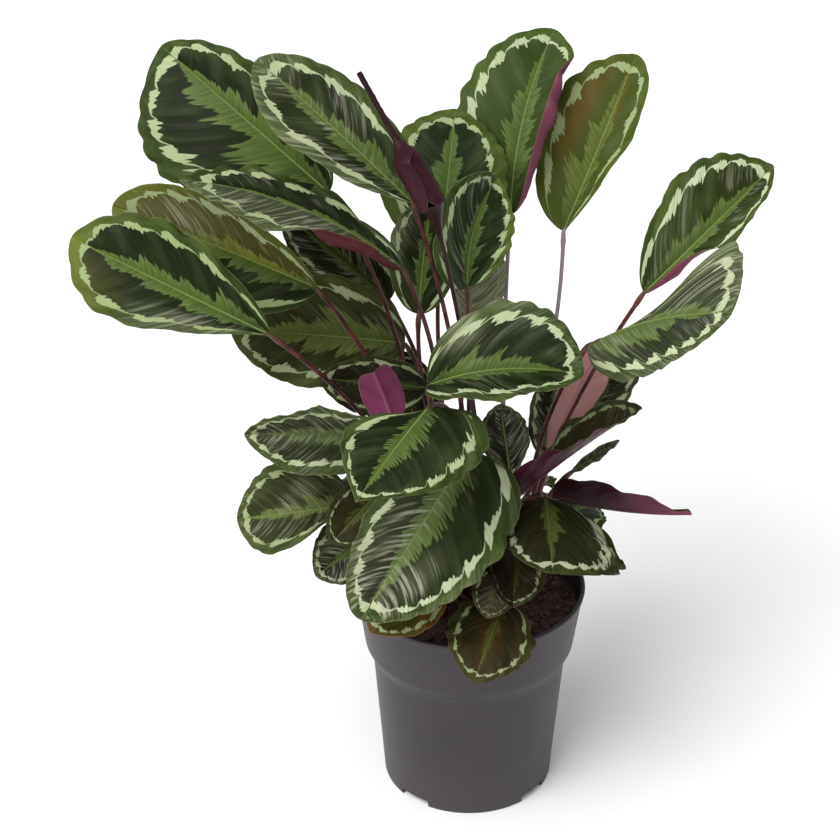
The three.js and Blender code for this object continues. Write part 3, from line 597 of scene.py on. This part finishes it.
def bladeSheet(leaf, s, u, ripple):
    # points and normals of the sheet that the blade is, and each point's distance from the midrib
    make = leafMake
    base, middle, tip, up = bladeFrame(leaf)
    run = s[..., None]
    point = (1 - run) ** 2 * base + 2 * (1 - run) * run * middle + run ** 2 * tip
    along = unit((1 - run) * (middle - base) + run * (tip - middle))
    up = unit(up - along * (along @ up)[..., None])
    right = np.cross(along, up)
    side = np.sign(u)

    def changing(key, plain):
        first = halves(leaf, u, key, plain)
        last = halves(leaf, u, key + "Tip", first)
        begin, done = leaf.get("change", (0, 1))
        share = np.clip((s - begin) / (done - begin), 0, 1)
        share = share * share * (3 - 2 * share) if "change" in leaf else share
        return np.radians(first + (last - first) * share)

    fold = changing("fold", 0)
    bend = changing("curl", make["droop"]) / halves(leaf, u, "half")
    bend = np.where(np.abs(bend) < 1e-6, 1e-6, bend)
    margin = halfWidth(leaf, s, u, ripple)
    if "closed" in leaf:
        margin = np.minimum(margin, math.radians(leaf["closed"]) / bend)
    distance = np.abs(u) * margin

    # the flat part, then a lip that turns up over the last part of one half
    hand, width, lipTurn, lipReach = leaf.get("lip", (0, 0, 0, 1))
    lipped = np.where((u < 0) == (hand == 0), width, 0)
    start = np.minimum(distance, margin * (1 - lipped))
    turn = fold + bend * start
    out = (np.sin(turn) - np.sin(fold)) / bend
    lift = (np.cos(fold) - np.cos(turn)) / bend
    ease = np.clip((lipReach - s) / 0.3, 0, 1)
    lipWide = np.maximum(margin * np.maximum(lipped, 0.01), 0.5)
    tight = math.radians(lipTurn) * ease * ease * (3 - 2 * ease) / lipWide
    tight = np.where(lipped > 0, tight, 0) + 1e-6
    beyond = distance - start
    last = turn + tight * beyond
    out = out + (np.sin(last) - np.sin(turn)) / tight
    lift = lift + (np.cos(turn) - np.cos(last)) / tight
    turn = last

    normal = unit(up * np.cos(turn)[..., None] - right * (side * np.sin(turn))[..., None])
    phase = make["wavesAlong"] * s + np.where(u < 0, 0, make["waveShift"])
    wave = leaf.get("wave", make["wave"]) * np.sin(2 * np.pi * phase) * u * u
    sweep = halves(leaf, u, "sweep") * distance
    point = point + along * sweep[..., None] + right * (side * out)[..., None] + up * lift[..., None]
    point = point + normal * (wave * np.sin(np.pi * s))[..., None]
    return point, normal, distance, margin


def addMesh(name, points, faces, materials, slots=None, attributes=None, sharp=None):
    mesh = bpy.data.meshes.new(name)
    mesh.from_pydata((np.asarray(points) * mm).tolist(), [], faces)
    for material in materials:
        mesh.materials.append(material)
    if slots is not None:
        mesh.polygons.foreach_set("material_index", slots)
    for key, values in (attributes or {}).items():
        layer = mesh.attributes.new(key, "FLOAT_VECTOR", "POINT")
        layer.data.foreach_set("vector", np.asarray(values, float).ravel())
    mesh.polygons.foreach_set("use_smooth", [True] * len(mesh.polygons))
    if sharp:
        mesh.set_sharp_from_angle(angle=math.radians(sharp))
    mesh.update()
    piece = bpy.data.objects.new(name, mesh)
    bpy.context.collection.objects.link(piece)
    return piece


def addLeaf(name, leaf, order):
    make = leafMake
    length = float(np.linalg.norm(np.subtract(leaf["tip"], leaf["base"])))
    low, high = make["rows"]
    rows = int(min(high, max(low, length / make["rowStep"])))
    even = np.linspace(0, 1, rows + 1)
    s = 0.25 * even + 0.75 * (0.5 - 0.5 * np.cos(np.pi * even))
    s = 0.0012 + 0.9976 * s
    each = np.linspace(0, 1, make["columnsEachSide"] + 1)
    inside = each[1:-1] ** 1.3 * 0.985
    rightHalf = np.concatenate((inside, (0.99, 1)))
    u = np.concatenate((-rightHalf[::-1], (0,), rightHalf))
    s, u = np.meshgrid(s, u, indexing="ij")
    ripple = order * 1.7

    point, normal, distance, margin = bladeSheet(leaf, s, u, ripple)
    wide = np.abs(u)
    vein = s - distance / length * (0.6 + 0.5 * wide)
    phase = veinPhase(vein, ripple, np.sign(u))
    body = np.sin(np.pi * s) ** 0.5
    swell = np.abs(np.sin(np.pi * phase)) - 0.64
    relief = make["swelling"] * leaf.get("crimp", 1) * swell * body * wide ** 1.4
    quilt = np.abs(np.sin(np.pi * phase * make["quilts"])) - 0.6
    relief = relief + make["quilting"] * quilt * body * np.clip(wide * 4, 0, 1) * (1 - wide ** 6)
    groove = make["grooveDepth"] * np.exp(-(distance / make["grooveWidth"]) ** 2) * body
    sheet = point + normal * (relief - groove)[..., None]
    thin = make["thickness"] / 2 * (1 - 0.45 * wide)
    rib = make["ribDepth"] * (1 - 0.8 * s) * np.exp(-(distance / make["ribWidth"]) ** 2)
    upper = sheet + normal * thin[..., None]
    lower = sheet - normal * (thin + rib - groove)[..., None]
    upper[:, 0], upper[:, -1] = sheet[:, 0], sheet[:, -1]

    tall, across = s.shape
    loop = across + across - 2  # the upper row, then the lower row without its ends
    points = np.concatenate((upper, lower[:, 1:-1]), axis=1).reshape(-1, 3)

    def top(i, j):
        return i * loop + j

    def bottom(i, j):
        return top(i, j) if j in (0, across - 1) else i * loop + across + j - 1

    faces, slots = [], []
    for i in range(tall - 1):
        for j in range(across - 1):
            faces.append((top(i, j), top(i, j + 1), top(i + 1, j + 1), top(i + 1, j)))
            faces.append((bottom(i, j), bottom(i + 1, j), bottom(i + 1, j + 1), bottom(i, j + 1)))
            slots += [0, 1]
    for i in (0, tall - 1):
        for j in range(across - 1):
            ring = [top(i, j + 1), top(i, j), bottom(i, j), bottom(i, j + 1)]
            ring = [corner for k, corner in enumerate(ring) if corner not in ring[:k]]
            faces.append(tuple(ring if i == 0 else ring[::-1]))
            slots.append(0)

    def both(values):
        values = np.broadcast_to(values, s.shape)
        return np.concatenate((values, values[:, 1:-1]), axis=1).ravel()

    def layer(*columns):
        return np.stack([both(column) for column in columns], axis=1)

    def own(key, plain):
        return halves(leaf, u, key, plain)

    def dabs(key, plain=0):
        # soft patches: where along and across the leaf, how far they spread, how strong they are
        whole = own(key, plain) + np.zeros(s.shape)
        for place, side, size, spread, amount in leaf.get(key + "Dabs", ()):
            patch = ((s - place) / size) ** 2 + ((u - side) / spread) ** 2
            whole = np.maximum(whole, amount * np.exp(-patch ** 1.5))
        return whole

    tone = leaf.get("tone", (0.1, 0.15, 0.05))
    attributes = {
        "place": layer(s, u, vein),
        "reach": layer(distance, margin - distance, phase + 20),
        "look": layer(order * 0.731 % 7, dabs("olive", 0.1), dabs("paintedGlare", 0.1)),
        "mark": layer(own("feather", 0.42), own("band", 1), own("rust", 0.05)),
        # painted shade with old-leaf darkening, painted sheen, and fresh green
        "shade": layer(dabs("paintedShadeAndAge"), dabs("pale"), dabs("fresh")),
        "touch": layer(own("cream", 0.35), dabs("stain"), dabs("lime")),
        "under": layer(own("ruddy", 0), 0, 0),
        "tone": layer(*(a + (b - a) * s for a, b in zip(tone, leaf.get("toneTip", tone)))),
        "drawing": layer(own("combed", 0), own("cusp", 1), own("bandPlace", 0.78)),
    }
    return addMesh(name, points, faces, [leafTop, leafBack], slots, attributes)


for order, (name, leaf) in enumerate(leaves.items()):
    blade = addLeaf("leaf_" + name, leaf, order)
    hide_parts("blade_" + name)
    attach(blade, "root")
print(len(leaves), "leaves made")


# leaf stalks, one bundle for each shoot

stalkMake = {
    "foot": 154,  # height at which the stalks of a shoot start, inside the soil
    "ring": 4.6,
    "footRadius": 3.2,
    "topRadius": 1.7,
    "jointRadius": 2.3,  # swollen joint under the blade
    "jointLength": 14,
    "thinnedAt": 0.6,
    "gap": 0.35,
    "clearance": 1.5,
    "upright": 0.42,
    "lead": 0.3,
    "steps": 60,
    "sides": 14,
    "footSwell": (1.3, 55),  # how much thicker, and how far up
    "underRib": ((0.012, 0.03, 0.055), (1.5, 1.15, 0.5), (2, 4, 7)),  # share, radius, way walked
    "streakLength": 60,
    "sheathRadius": 8.3,
    "sheathTop": 181,
    "sheathDeep": 8,  # how far its foot is under the stalks' feet
    "sheathDome": 9,
    "sheathRings": (8, 6),  # in the wall and in the dome
    "sheathSides": 40,
    "sheathRibs": (5, 0.09),
    "sharp": 50,
}

stalkLook = {
    "wine": (104, 46, 44),
    "dark": (40, 17, 16),
    "light": (150, 104, 100),
    "green": (112, 104, 66),
    "mauve": (168, 154, 158),
}


def makeStalkPaint(look):
    paint = Paint("stalk", look, "dark")
    run, around, joint = paint.parts("place")
    seed, shade, mauve = paint.parts("look")
    place = paint.here()
    streaks = paint.cloud((run * 9 + seed, around * 2.2, seed), detail=3.0)
    patch = paint.cloud((run * 5, around * 0.4, seed + 7), detail=1.0)
    paint.coat(patch.rise(0.3, 0.72), "wine")
    paint.coat(streaks.rise(0.52, 0.76) * 0.35, "light")
    paint.coat(joint * 0.35, "green")
    paint.coat(mauve, "mauve")
    paint.coat(shade, "dark")
    speck = paint.cloud(place, scale=900)
    normal = paint.bump(streaks + speck * 0.3, 0.0003, 0.6)
    return paint.finish(0.36 + (speck - 0.5) * 0.2, normal, Specular_IOR_Level=0.25)


stalkPaint = makeStalkPaint(stalkLook)


def stalkPath(leaf, place, order, count):
    make = stalkMake
    base, middle, tip, up = bladeFrame(leaf)
    along = unit(middle - base)
    lead = unit(np.array(leaf["lead"], float)) if "lead" in leaf else along
    bent = make["clearance"] * make["topRadius"] * (1 - max(0, lead @ along))
    end = base - lead * (make["gap"] + bent)
    angle = order / count * 2 * math.pi
    x, y = place
    foot = np.array((x + make["ring"] * math.cos(angle), y + make["ring"] * math.sin(angle), make["foot"]))
    span = np.linalg.norm(end - foot)
    first = foot + np.array((0, 0, span * make["upright"]))
    second = end - lead * span * leaf.get("reach", make["lead"])
    t = np.linspace(0, 1, make["steps"] + 1)[:, None]
    path = (1 - t) ** 3 * foot + 3 * (1 - t) ** 2 * t * first + 3 * (1 - t) * t ** 2 * second + t ** 3 * end
    steps = np.linalg.norm(np.diff(path, axis=0), axis=1)
    walked = np.concatenate(((0,), np.cumsum(steps)))
    joint = np.clip(1 - (walked[-1] - walked) / make["jointLength"], 0, 1)
    thinned = np.minimum(1, t[:, 0] / make["thinnedAt"])
    radius = make["footRadius"] + (make["topRadius"] - make["footRadius"]) * thinned
    radius = radius + (make["jointRadius"] - make["topRadius"]) * np.sin(np.pi * joint)
    swell, reach = make["footSwell"]
    radius = radius + swell * np.clip(1 - walked / reach, 0, 1) ** 2
    flare, reach = leaf.get("funnel", (0, 1))
    radius = radius + flare * np.clip(1 - (walked[-1] - walked) / reach, 0, 1) ** 1.3
    # the stalk runs on under the midrib
    s, thin, further = make["underRib"]
    point, normal, _, _ = bladeSheet(leaf, np.array(s), np.zeros(3), 0)
    path = np.concatenate((path, point - normal * 0.9))
    radius = np.concatenate((radius, thin))
    joint = np.concatenate((joint, (1, 1, 1)))
    run = np.concatenate((walked, walked[-1] + np.array(further))) / make["streakLength"]
    return path, radius, joint, run


def ringFaces(count, sides):
    # walls between rings of points, and a cap at both ends
    faces = []
    for i in range(0, (count - 1) * sides, sides):
        for j in range(sides):
            k = (j + 1) % sides
            faces.append((i + j, i + k, i + sides + k, i + sides + j))
    faces.append(tuple(range(sides))[::-1])
    faces.append(tuple(range((count - 1) * sides, count * sides)))
    return faces


def tube(path, radius, sides):
    # rings of points round a path, turned as little as they can be
    along = unit(np.gradient(path, axis=0))
    across = unit(np.cross(along[0], (0.3, 0.8, 0.1)))
    rings = []
    turns = np.linspace(0, 2 * math.pi, sides, endpoint=False)
    for place, forward, size in zip(path, along, radius):
        across = unit(across - forward * (across @ forward))
        other = np.cross(forward, across)
        rings.append(place + size * (np.outer(np.cos(turns), across) + np.outer(np.sin(turns), other)))
    return np.concatenate(rings), ringFaces(len(path), sides), np.tile(turns, len(path))


def sheath(x, y, make, turn):
    # the wrapped feet of the stalks, ribbed and closed on top
    top, dome, sides = make["sheathTop"], make["sheathDome"], make["sheathSides"]
    wall, cap = make["sheathRings"]
    heights = np.concatenate((np.linspace(make["foot"] - make["sheathDeep"], top - dome, wall),
                              top - dome * np.cos(np.linspace(0.2, 1.5, cap)) ** 1.2))
    share = np.concatenate((np.ones(wall), np.sin(np.linspace(1.45, 0.35, cap)) ** 0.8))
    turns = np.linspace(0, 2 * math.pi, sides, endpoint=False)
    ribs, depth = make["sheathRibs"]
    lobes = 1 - depth * (1 + np.cos(ribs * turns + turn)) / 2
    radius = make["sheathRadius"] * share[:, None] * lobes[None, :]
    points = np.stack((x + radius * np.cos(turns), y + radius * np.sin(turns),
                       np.broadcast_to(heights[:, None], radius.shape)), axis=-1).reshape(-1, 3)
    count = len(heights)
    return points, ringFaces(count, sides), np.tile(turns, count), np.repeat(heights, sides)


def addShoot(name, place, numbers):
    make = stalkMake
    members = [leaves[number] for number in numbers.split()]
    points, faces, turns, heights = sheath(*place, make, len(name))
    places = [np.stack((heights / make["streakLength"], turns, np.zeros(len(turns))), axis=1)]
    looks = [np.tile((len(name) * 1.3, 0.35, 0), (len(points), 1))]
    allPoints, allFaces, offset = [points], list(faces), len(points)
    for order, leaf in enumerate(members):
        path, radius, joint, run = stalkPath(leaf, place, order, len(members))
        points, faces, turns = tube(path, radius, make["sides"])
        allPoints.append(points)
        allFaces += [tuple(corner + offset for corner in face) for face in faces]
        offset += len(points)
        run, joint = (np.repeat(values, make["sides"]) for values in (run, joint))
        places.append(np.stack((run, turns, joint), axis=1))
        look = (order * 2.7 + len(name), leaf.get("stalkDark", 0.25), leaf.get("mauve", 0))
        looks.append(np.tile(look, (len(points), 1)))
    attributes = {"place": np.concatenate(places), "look": np.concatenate(looks)}
    points = np.concatenate(allPoints)
    return addMesh("stalks_" + name, points, allFaces, [stalkPaint], None, attributes, make["sharp"])


for name, (place, numbers) in shoots.items():
    stalks = addShoot(name, place, numbers)
    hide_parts("shoot_" + name)
    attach(stalks, "root")
print("stalks made")


# pot, in millimetres

potShape = {
    "sides": 180,
    "height": 185,
    "lipRadius": 95,
    "bandTop": (93.4, 180),
    "bandBottom": (86.8, 134),
    "wallTop": (80.2, 120),
    "foot": (71.4, 7),
    "footOuter": 70.3,
    "underside": ((0, 0), (11.6, 0), (12.4, 0.4), (15.6, 4.6), (16.4, 5),
                  (53.6, 5), (54.4, 4.6), (57.6, 0.4), (58.4, 0)),
    "lipRound": 1.3,
    "wall": 1.8,
    "floorLift": 5,
    "rings": (142.5, 149),
    "ringDepth": 0.09,
    "ringWidth": 1.1,
    "notchTurn": -40,
    "notchSize": (28, 22, 6),
    "notchRound": 2.2,
    "drains": 6,
    "drainRing": 40,
    "drainRadius": 5,
    "drainDepth": 12,
    "sharp": 34,
}

potLook = {
    "plastic": (38, 32, 38),
    "worn": (45, 39, 45),
    "paleGrey": (98, 92, 90),
}


def makePotPaint(look):
    paint = Paint("potPlastic", look, "plastic")
    place = paint.here()
    x, y, z = paint.split(place)
    haze = paint.cloud(place, scale=14, detail=3.0)
    upright = paint.cloud((x * 70, y * 70, z * 5), detail=3.0)
    speck = paint.cloud(place, scale=420, detail=3.0)
    paint.coat((upright * 0.2 + haze * 0.8).rise(0.36, 0.66), "worn")
    # lighter towards the foot, with faint pale specks
    low = 1 - (z + haze * 0.05).rise(0.02, 0.09)
    # painted shade: the shoulder faces down towards the white floor and is kept dark against the light it
    # would get from there
    paintedShoulderShade = z.rise(0.117, 0.124) * (1 - z.rise(0.13, 0.137))
    paint.coat(paintedShoulderShade * 0.7, "plastic")
    paint.coat(low * 0.16 + speck.rise(0.62, 0.78) * 0.08, "paleGrey")
    grain = paint.cloud(place, scale=1500)
    swirl = paint.cloud((x * 6, y * 6, z * 260))
    normal = paint.bump(grain * 0.6 + speck * 0.25 + swirl * 0.3, 0.0001, 0.6)
    roughness = 0.46 + (speck - 0.5) * 0.16 + (haze - 0.5) * 0.12 + low * 0.08
    return paint.finish(roughness, normal, Specular_IOR_Level=0.5)


potPaint = makePotPaint(potLook)


def outlineOfPot(shape):
    top = shape["height"]
    lip = shape["lipRadius"]
    wall = shape["wall"]
    bandX, bandZ = shape["bandTop"]
    lowX, lowZ = shape["bandBottom"]
    wallX, wallZ = shape["wallTop"]
    footX, footZ = shape["foot"]
    outer = shape["footOuter"]
    line = list(shape["underside"])
    for step in range(10):
        angle = step / 9 * math.pi / 2
        line.append((outer + (footX - outer) * math.sin(angle), footZ * (1 - math.cos(angle))))

    def between(start, end, share):
        return tuple(a + (b - a) * share for a, b in zip(start, end))

    for share in (0.2, 0.4, 0.6, 0.8, 0.95):
        line.append(between((footX, footZ), (wallX, wallZ), share))
    for step in range(11):
        share = step / 10
        soft = share * share * (3 - 2 * share)
        line.append((wallX + (lowX - wallX) * (share + 2 * soft) / 3, wallZ + (lowZ - wallZ) * share))
    half = shape["ringWidth"]
    for height in shape["rings"]:
        for step, depth in ((-half, 0), (-half / 2, 0.7), (0, 1), (half / 2, 0.7), (half, 0)):
            x, z = between((lowX, lowZ), (bandX, bandZ), (height + step - lowZ) / (bandZ - lowZ))
            line.append((x - depth * shape["ringDepth"], z))
    for height in (152, 162, 172):
        line.append(between((lowX, lowZ), (bandX, bandZ), (height - lowZ) / (bandZ - lowZ)))
    line += [(bandX - 0.1, bandZ - 0.9), (bandX + 0.1, bandZ - 0.2), (lip - 0.7, bandZ + 0.5)]
    soft = shape["lipRound"]
    for step in range(7):
        angle = step / 6 * math.pi / 2
        line.append((lip - soft + soft * math.cos(angle), top - soft + soft * math.sin(angle)))
    inner = lip - 1.6 - wall
    line += [(inner + 0.6, top), (inner + 0.15, top - 0.2), (inner, top - 0.7), (inner, bandZ)]
    line += [between((lowX - wall, lowZ), (inner, bandZ), share) for share in (0.75, 0.5, 0.25)]
    line += [(lowX - wall, lowZ), (wallX - wall, wallZ), (footX - wall + 0.2, footZ + wall + 5)]
    line += [(footX - wall - 1.2, footZ + wall), (footX - wall - 3.5, shape["floorLift"] + wall + 0.5)]
    line += [(footX - wall - 7, shape["floorLift"] + wall), (0, shape["floorLift"] + wall)]
    return line


def lathe(line, sides):
    turns = np.linspace(0, 2 * math.pi, sides, endpoint=False)
    points, rings = [], []
    for radius, height in line:
        if radius == 0:
            rings.append([len(points)] * sides)
            points.append((0, 0, height))
        else:
            rings.append(list(range(len(points), len(points) + sides)))
            points += [(radius * math.cos(turn), radius * math.sin(turn), height) for turn in turns]
    faces = []
    for below, above in zip(rings, rings[1:]):
        for j in range(sides):
            k = (j + 1) % sides
            face = tuple(dict.fromkeys((below[j], below[k], above[k], above[j])))
            if len(face) > 2:
                faces.append(face)
    return points, faces


def addCutter(shape):
    # the four notches at the foot and the drain holes, as one mesh to take away
    made = bmesh.new()
    width, depth, height = shape["notchSize"]
    for quarter in range(4):
        angle = math.radians(shape["notchTurn"] + 90 * quarter)
        box = bmesh.ops.create_cube(made, size=1)["verts"]
        for vert in box:
            local = Vector((vert.co.x * width, vert.co.y * depth - shape["foot"][0], vert.co.z * height * 2))
            vert.co = Vector((local.x * math.cos(angle) - local.y * math.sin(angle),
                              local.x * math.sin(angle) + local.y * math.cos(angle), local.z))
        edges = {edge for vert in box for edge in vert.link_edges}
        tall = [edge for edge in edges if all(vert.co.z > 0 for vert in edge.verts)]
        bmesh.ops.bevel(made, geom=tall, offset=shape["notchRound"], segments=5, profile=0.5, affect="EDGES")
    for hole in range(shape["drains"]):
        angle = hole / shape["drains"] * 2 * math.pi
        radius, depth, reach = shape["drainRadius"], shape["drainDepth"], shape["drainRing"]
        ring = bmesh.ops.create_cone(made, cap_ends=True, segments=32, radius1=radius, radius2=radius,
                                     depth=depth)["verts"]
        for vert in ring:
            vert.co += Vector((reach * math.cos(angle), reach * math.sin(angle), depth / 2))
    for vert in made.verts:
        vert.co *= mm
    bmesh.ops.recalc_face_normals(made, faces=made.faces)
    mesh = bpy.data.meshes.new("cutter")
    made.to_mesh(mesh)
    made.free()
    cutter = bpy.data.objects.new("cutter", mesh)
    bpy.context.collection.objects.link(cutter)
    return cutter


def addPot(shape):
    points, faces = lathe(outlineOfPot(shape), shape["sides"])
    piece = addMesh("plantPot", points, faces, [potPaint])
    cutter = addCutter(shape)
    cut = piece.modifiers.new("cut", "BOOLEAN")
    cut.operation = "DIFFERENCE"
    cut.solver = "EXACT"
    cut.object = cutter
    whole = bpy.data.meshes.new_from_object(piece.evaluated_get(bpy.context.evaluated_depsgraph_get()))
    piece.modifiers.clear()
    piece.data = whole
    bpy.data.objects.remove(cutter)
    whole.polygons.foreach_set("use_smooth", [True] * len(whole.polygons))
    whole.set_sharp_from_angle(angle=math.radians(shape["sharp"]))
    return piece


plantPot = addPot(potShape)
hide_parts("pot")
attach(plantPot, "root")
print("pot made")


# potting soil with bark, in millimetres

soilMake = {
    "rings": 58,
    "sides": 150,
    "level": 166,
    "mound": 5,
    "radius": 89,
    "mouth": 93.2,
    "rough": 1.5,
    "inside": ((84.5, 133.5), (77.9, 119.5), (69, 9.4), (61.8, 7.2)),  # down the pot's inside
    "bits": (  # how many, how long, how slim, how much bark: crumbs, chips, twigs
        (620, (2.2, 6), (0.45, 0.95), 0.55),
        (230, (5, 14), (0.3, 0.65), 1.0),
        (46, (8, 17), (0.06, 0.11), 1.0),
    ),
    "shades": (0.05, 0.3, 0.55, 0.75, 0.85),
    "sink": (-0.4, 0.9),
    "tilt": (-0.5, 0.5),
    "clear": 9,  # round each shoot
    "seed": 7,
    "sharp": 38,
}

soilLook = {
    "peat": (44, 27, 24),
    "peatLight": (96, 66, 57),
    "bark": (112, 69, 59),
    "barkPale": (118, 80, 64),
}


def makeSoilPaint(look):
    paint = Paint("soilMix", look, "peat")
    kind, shade, around = paint.parts("look")
    place = paint.here()
    x, y, z = paint.split(place)
    crumb = paint.cloud(place, scale=260, detail=5.0, roughness=0.7)
    paint.coat(crumb.rise(0.42, 0.72), "peatLight")
    grain = paint.cloud((x * 300 + around, y * 300 - around, z * 900), detail=3.0)
    barkColour = paint.blend(grain.rise(0.45, 0.75), "bark", "barkPale")
    barkColour = paint.blend(shade, barkColour, "peat")
    paint.coat(kind, barkColour)
    normal = paint.bump(crumb + grain * 0.4, 0.0012, 0.9)
    return paint.finish(0.78 + (crumb - 0.5) * 0.2, normal)


soilPaint = makeSoilPaint(soilLook)


def soilHeight(x, y, make):
    reach = math.hypot(x, y) / make["mouth"]
    bumps = math.sin(0.21 * x + 1.3) * math.cos(0.17 * y) + math.sin(0.11 * (x + 2 * y))
    rough = noise.fractal(Vector((x, y, 3)) / 9, 0.8, 2.1, 4) * make["rough"] * 1.2
    return make["level"] + make["mound"] * (1 - reach * reach) + 1.6 * bumps + rough


def addSoil(make):
    rings, sides = make["rings"], make["sides"]
    turns = [j / sides * 2 * math.pi for j in range(sides)]
    points = [(0, 0, soilHeight(0, 0, make))]
    for i in range(1, rings + 1):
        radius = make["radius"] * (i / rings) ** 0.75
        for turn in turns:
            x, y = radius * math.cos(turn), radius * math.sin(turn)
            points.append((x, y, soilHeight(x, y, make)))
    for radius, height in make["inside"]:
        points += [(radius * math.cos(turn), radius * math.sin(turn), height) for turn in turns]
    points.append((0, 0, height))
    faces = [(0, 1 + j, 1 + (j + 1) % sides) for j in range(sides)]
    last = len(points) - 1 - sides
    for near in range(1, last, sides):
        for j in range(sides):
            k = (j + 1) % sides
            faces.append((near + j, near + sides + j, near + sides + k, near + k))
    faces += [(last + (j + 1) % sides, last + j, last + sides) for j in range(sides)]
    looks = [(0, 0, 0)] * len(points)

    chance = random.Random(make["seed"])
    box = [(x, y, z) for z in (-1, 1) for x, y in square]
    sidesOfBox = [(0, 3, 2, 1), (4, 5, 6, 7), (0, 1, 5, 4), (1, 2, 6, 5), (2, 3, 7, 6), (3, 0, 4, 7)]
    for lengths, slim, kind in [bit for count, *bit in make["bits"] for _ in range(count)]:
        half = chance.uniform(*lengths) / 2
        reach = (make["radius"] - half - 1) * math.sqrt(chance.random())
        turn = chance.uniform(0, 2 * math.pi)
        x, y = reach * math.cos(turn), reach * math.sin(turn)
        if any(math.hypot(x - a, y - b) < make["clear"] for (a, b), _ in shoots.values()):
            continue
        place = Vector((x, y, soilHeight(x, y, make) + chance.uniform(*make["sink"])))
        size = (half, half * chance.uniform(*slim), half * chance.uniform(slim[0] * 0.5, slim[1] * 0.6))
        spin = chance.uniform(0, 6.3)
        tilt, roll = chance.uniform(*make["tilt"]), chance.uniform(*make["tilt"])
        ahead = Vector((math.cos(spin) * math.cos(tilt), math.sin(spin) * math.cos(tilt), math.sin(tilt)))
        beside = Vector((-math.sin(spin), math.cos(spin), roll)).normalized()
        above = ahead.cross(beside)
        faces += [tuple(len(points) + corner for corner in face) for face in sidesOfBox]
        for corner in box:
            a, b, c = (size[k] * corner[k] * chance.uniform(0.55, 1.05) for k in range(3))
            points.append(tuple(place + ahead * a + beside * b + above * c))
            look = (kind, chance.choice(make["shades"]), spin * 9)
        looks += [look] * len(box)
    return addMesh("pottingSoil", points, faces, [soilPaint], None, {"look": looks}, make["sharp"])


pottingSoil = addSoil(soilMake)
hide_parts("soil")
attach(pottingSoil, "root")
print("soil made")


# white floor

def addFloor(plan):
    paint = Paint("studioFloor", plan["floorLook"], "white")
    cloud = paint.cloud(paint.here(), scale=3)
    paint.coat(cloud, "bright")
    normal = paint.bump(cloud, 0.0002, 0.2)
    plain = dict(Emission_Color=(1, 1, 1, 1), Emission_Strength=plan["floorGlow"])
    material = paint.finish(0.9 + cloud * 0.08, normal, **plain)
    half = plan["floorSize"] / 2 / mm
    points = [(x * half, y * half, plan["floorLow"]) for x, y in square]
    return addMesh("studioFloor", points, [(0, 1, 2, 3)], [material])


addFloor(studio)
print("floor laid")

bpy.context.view_layer.update()
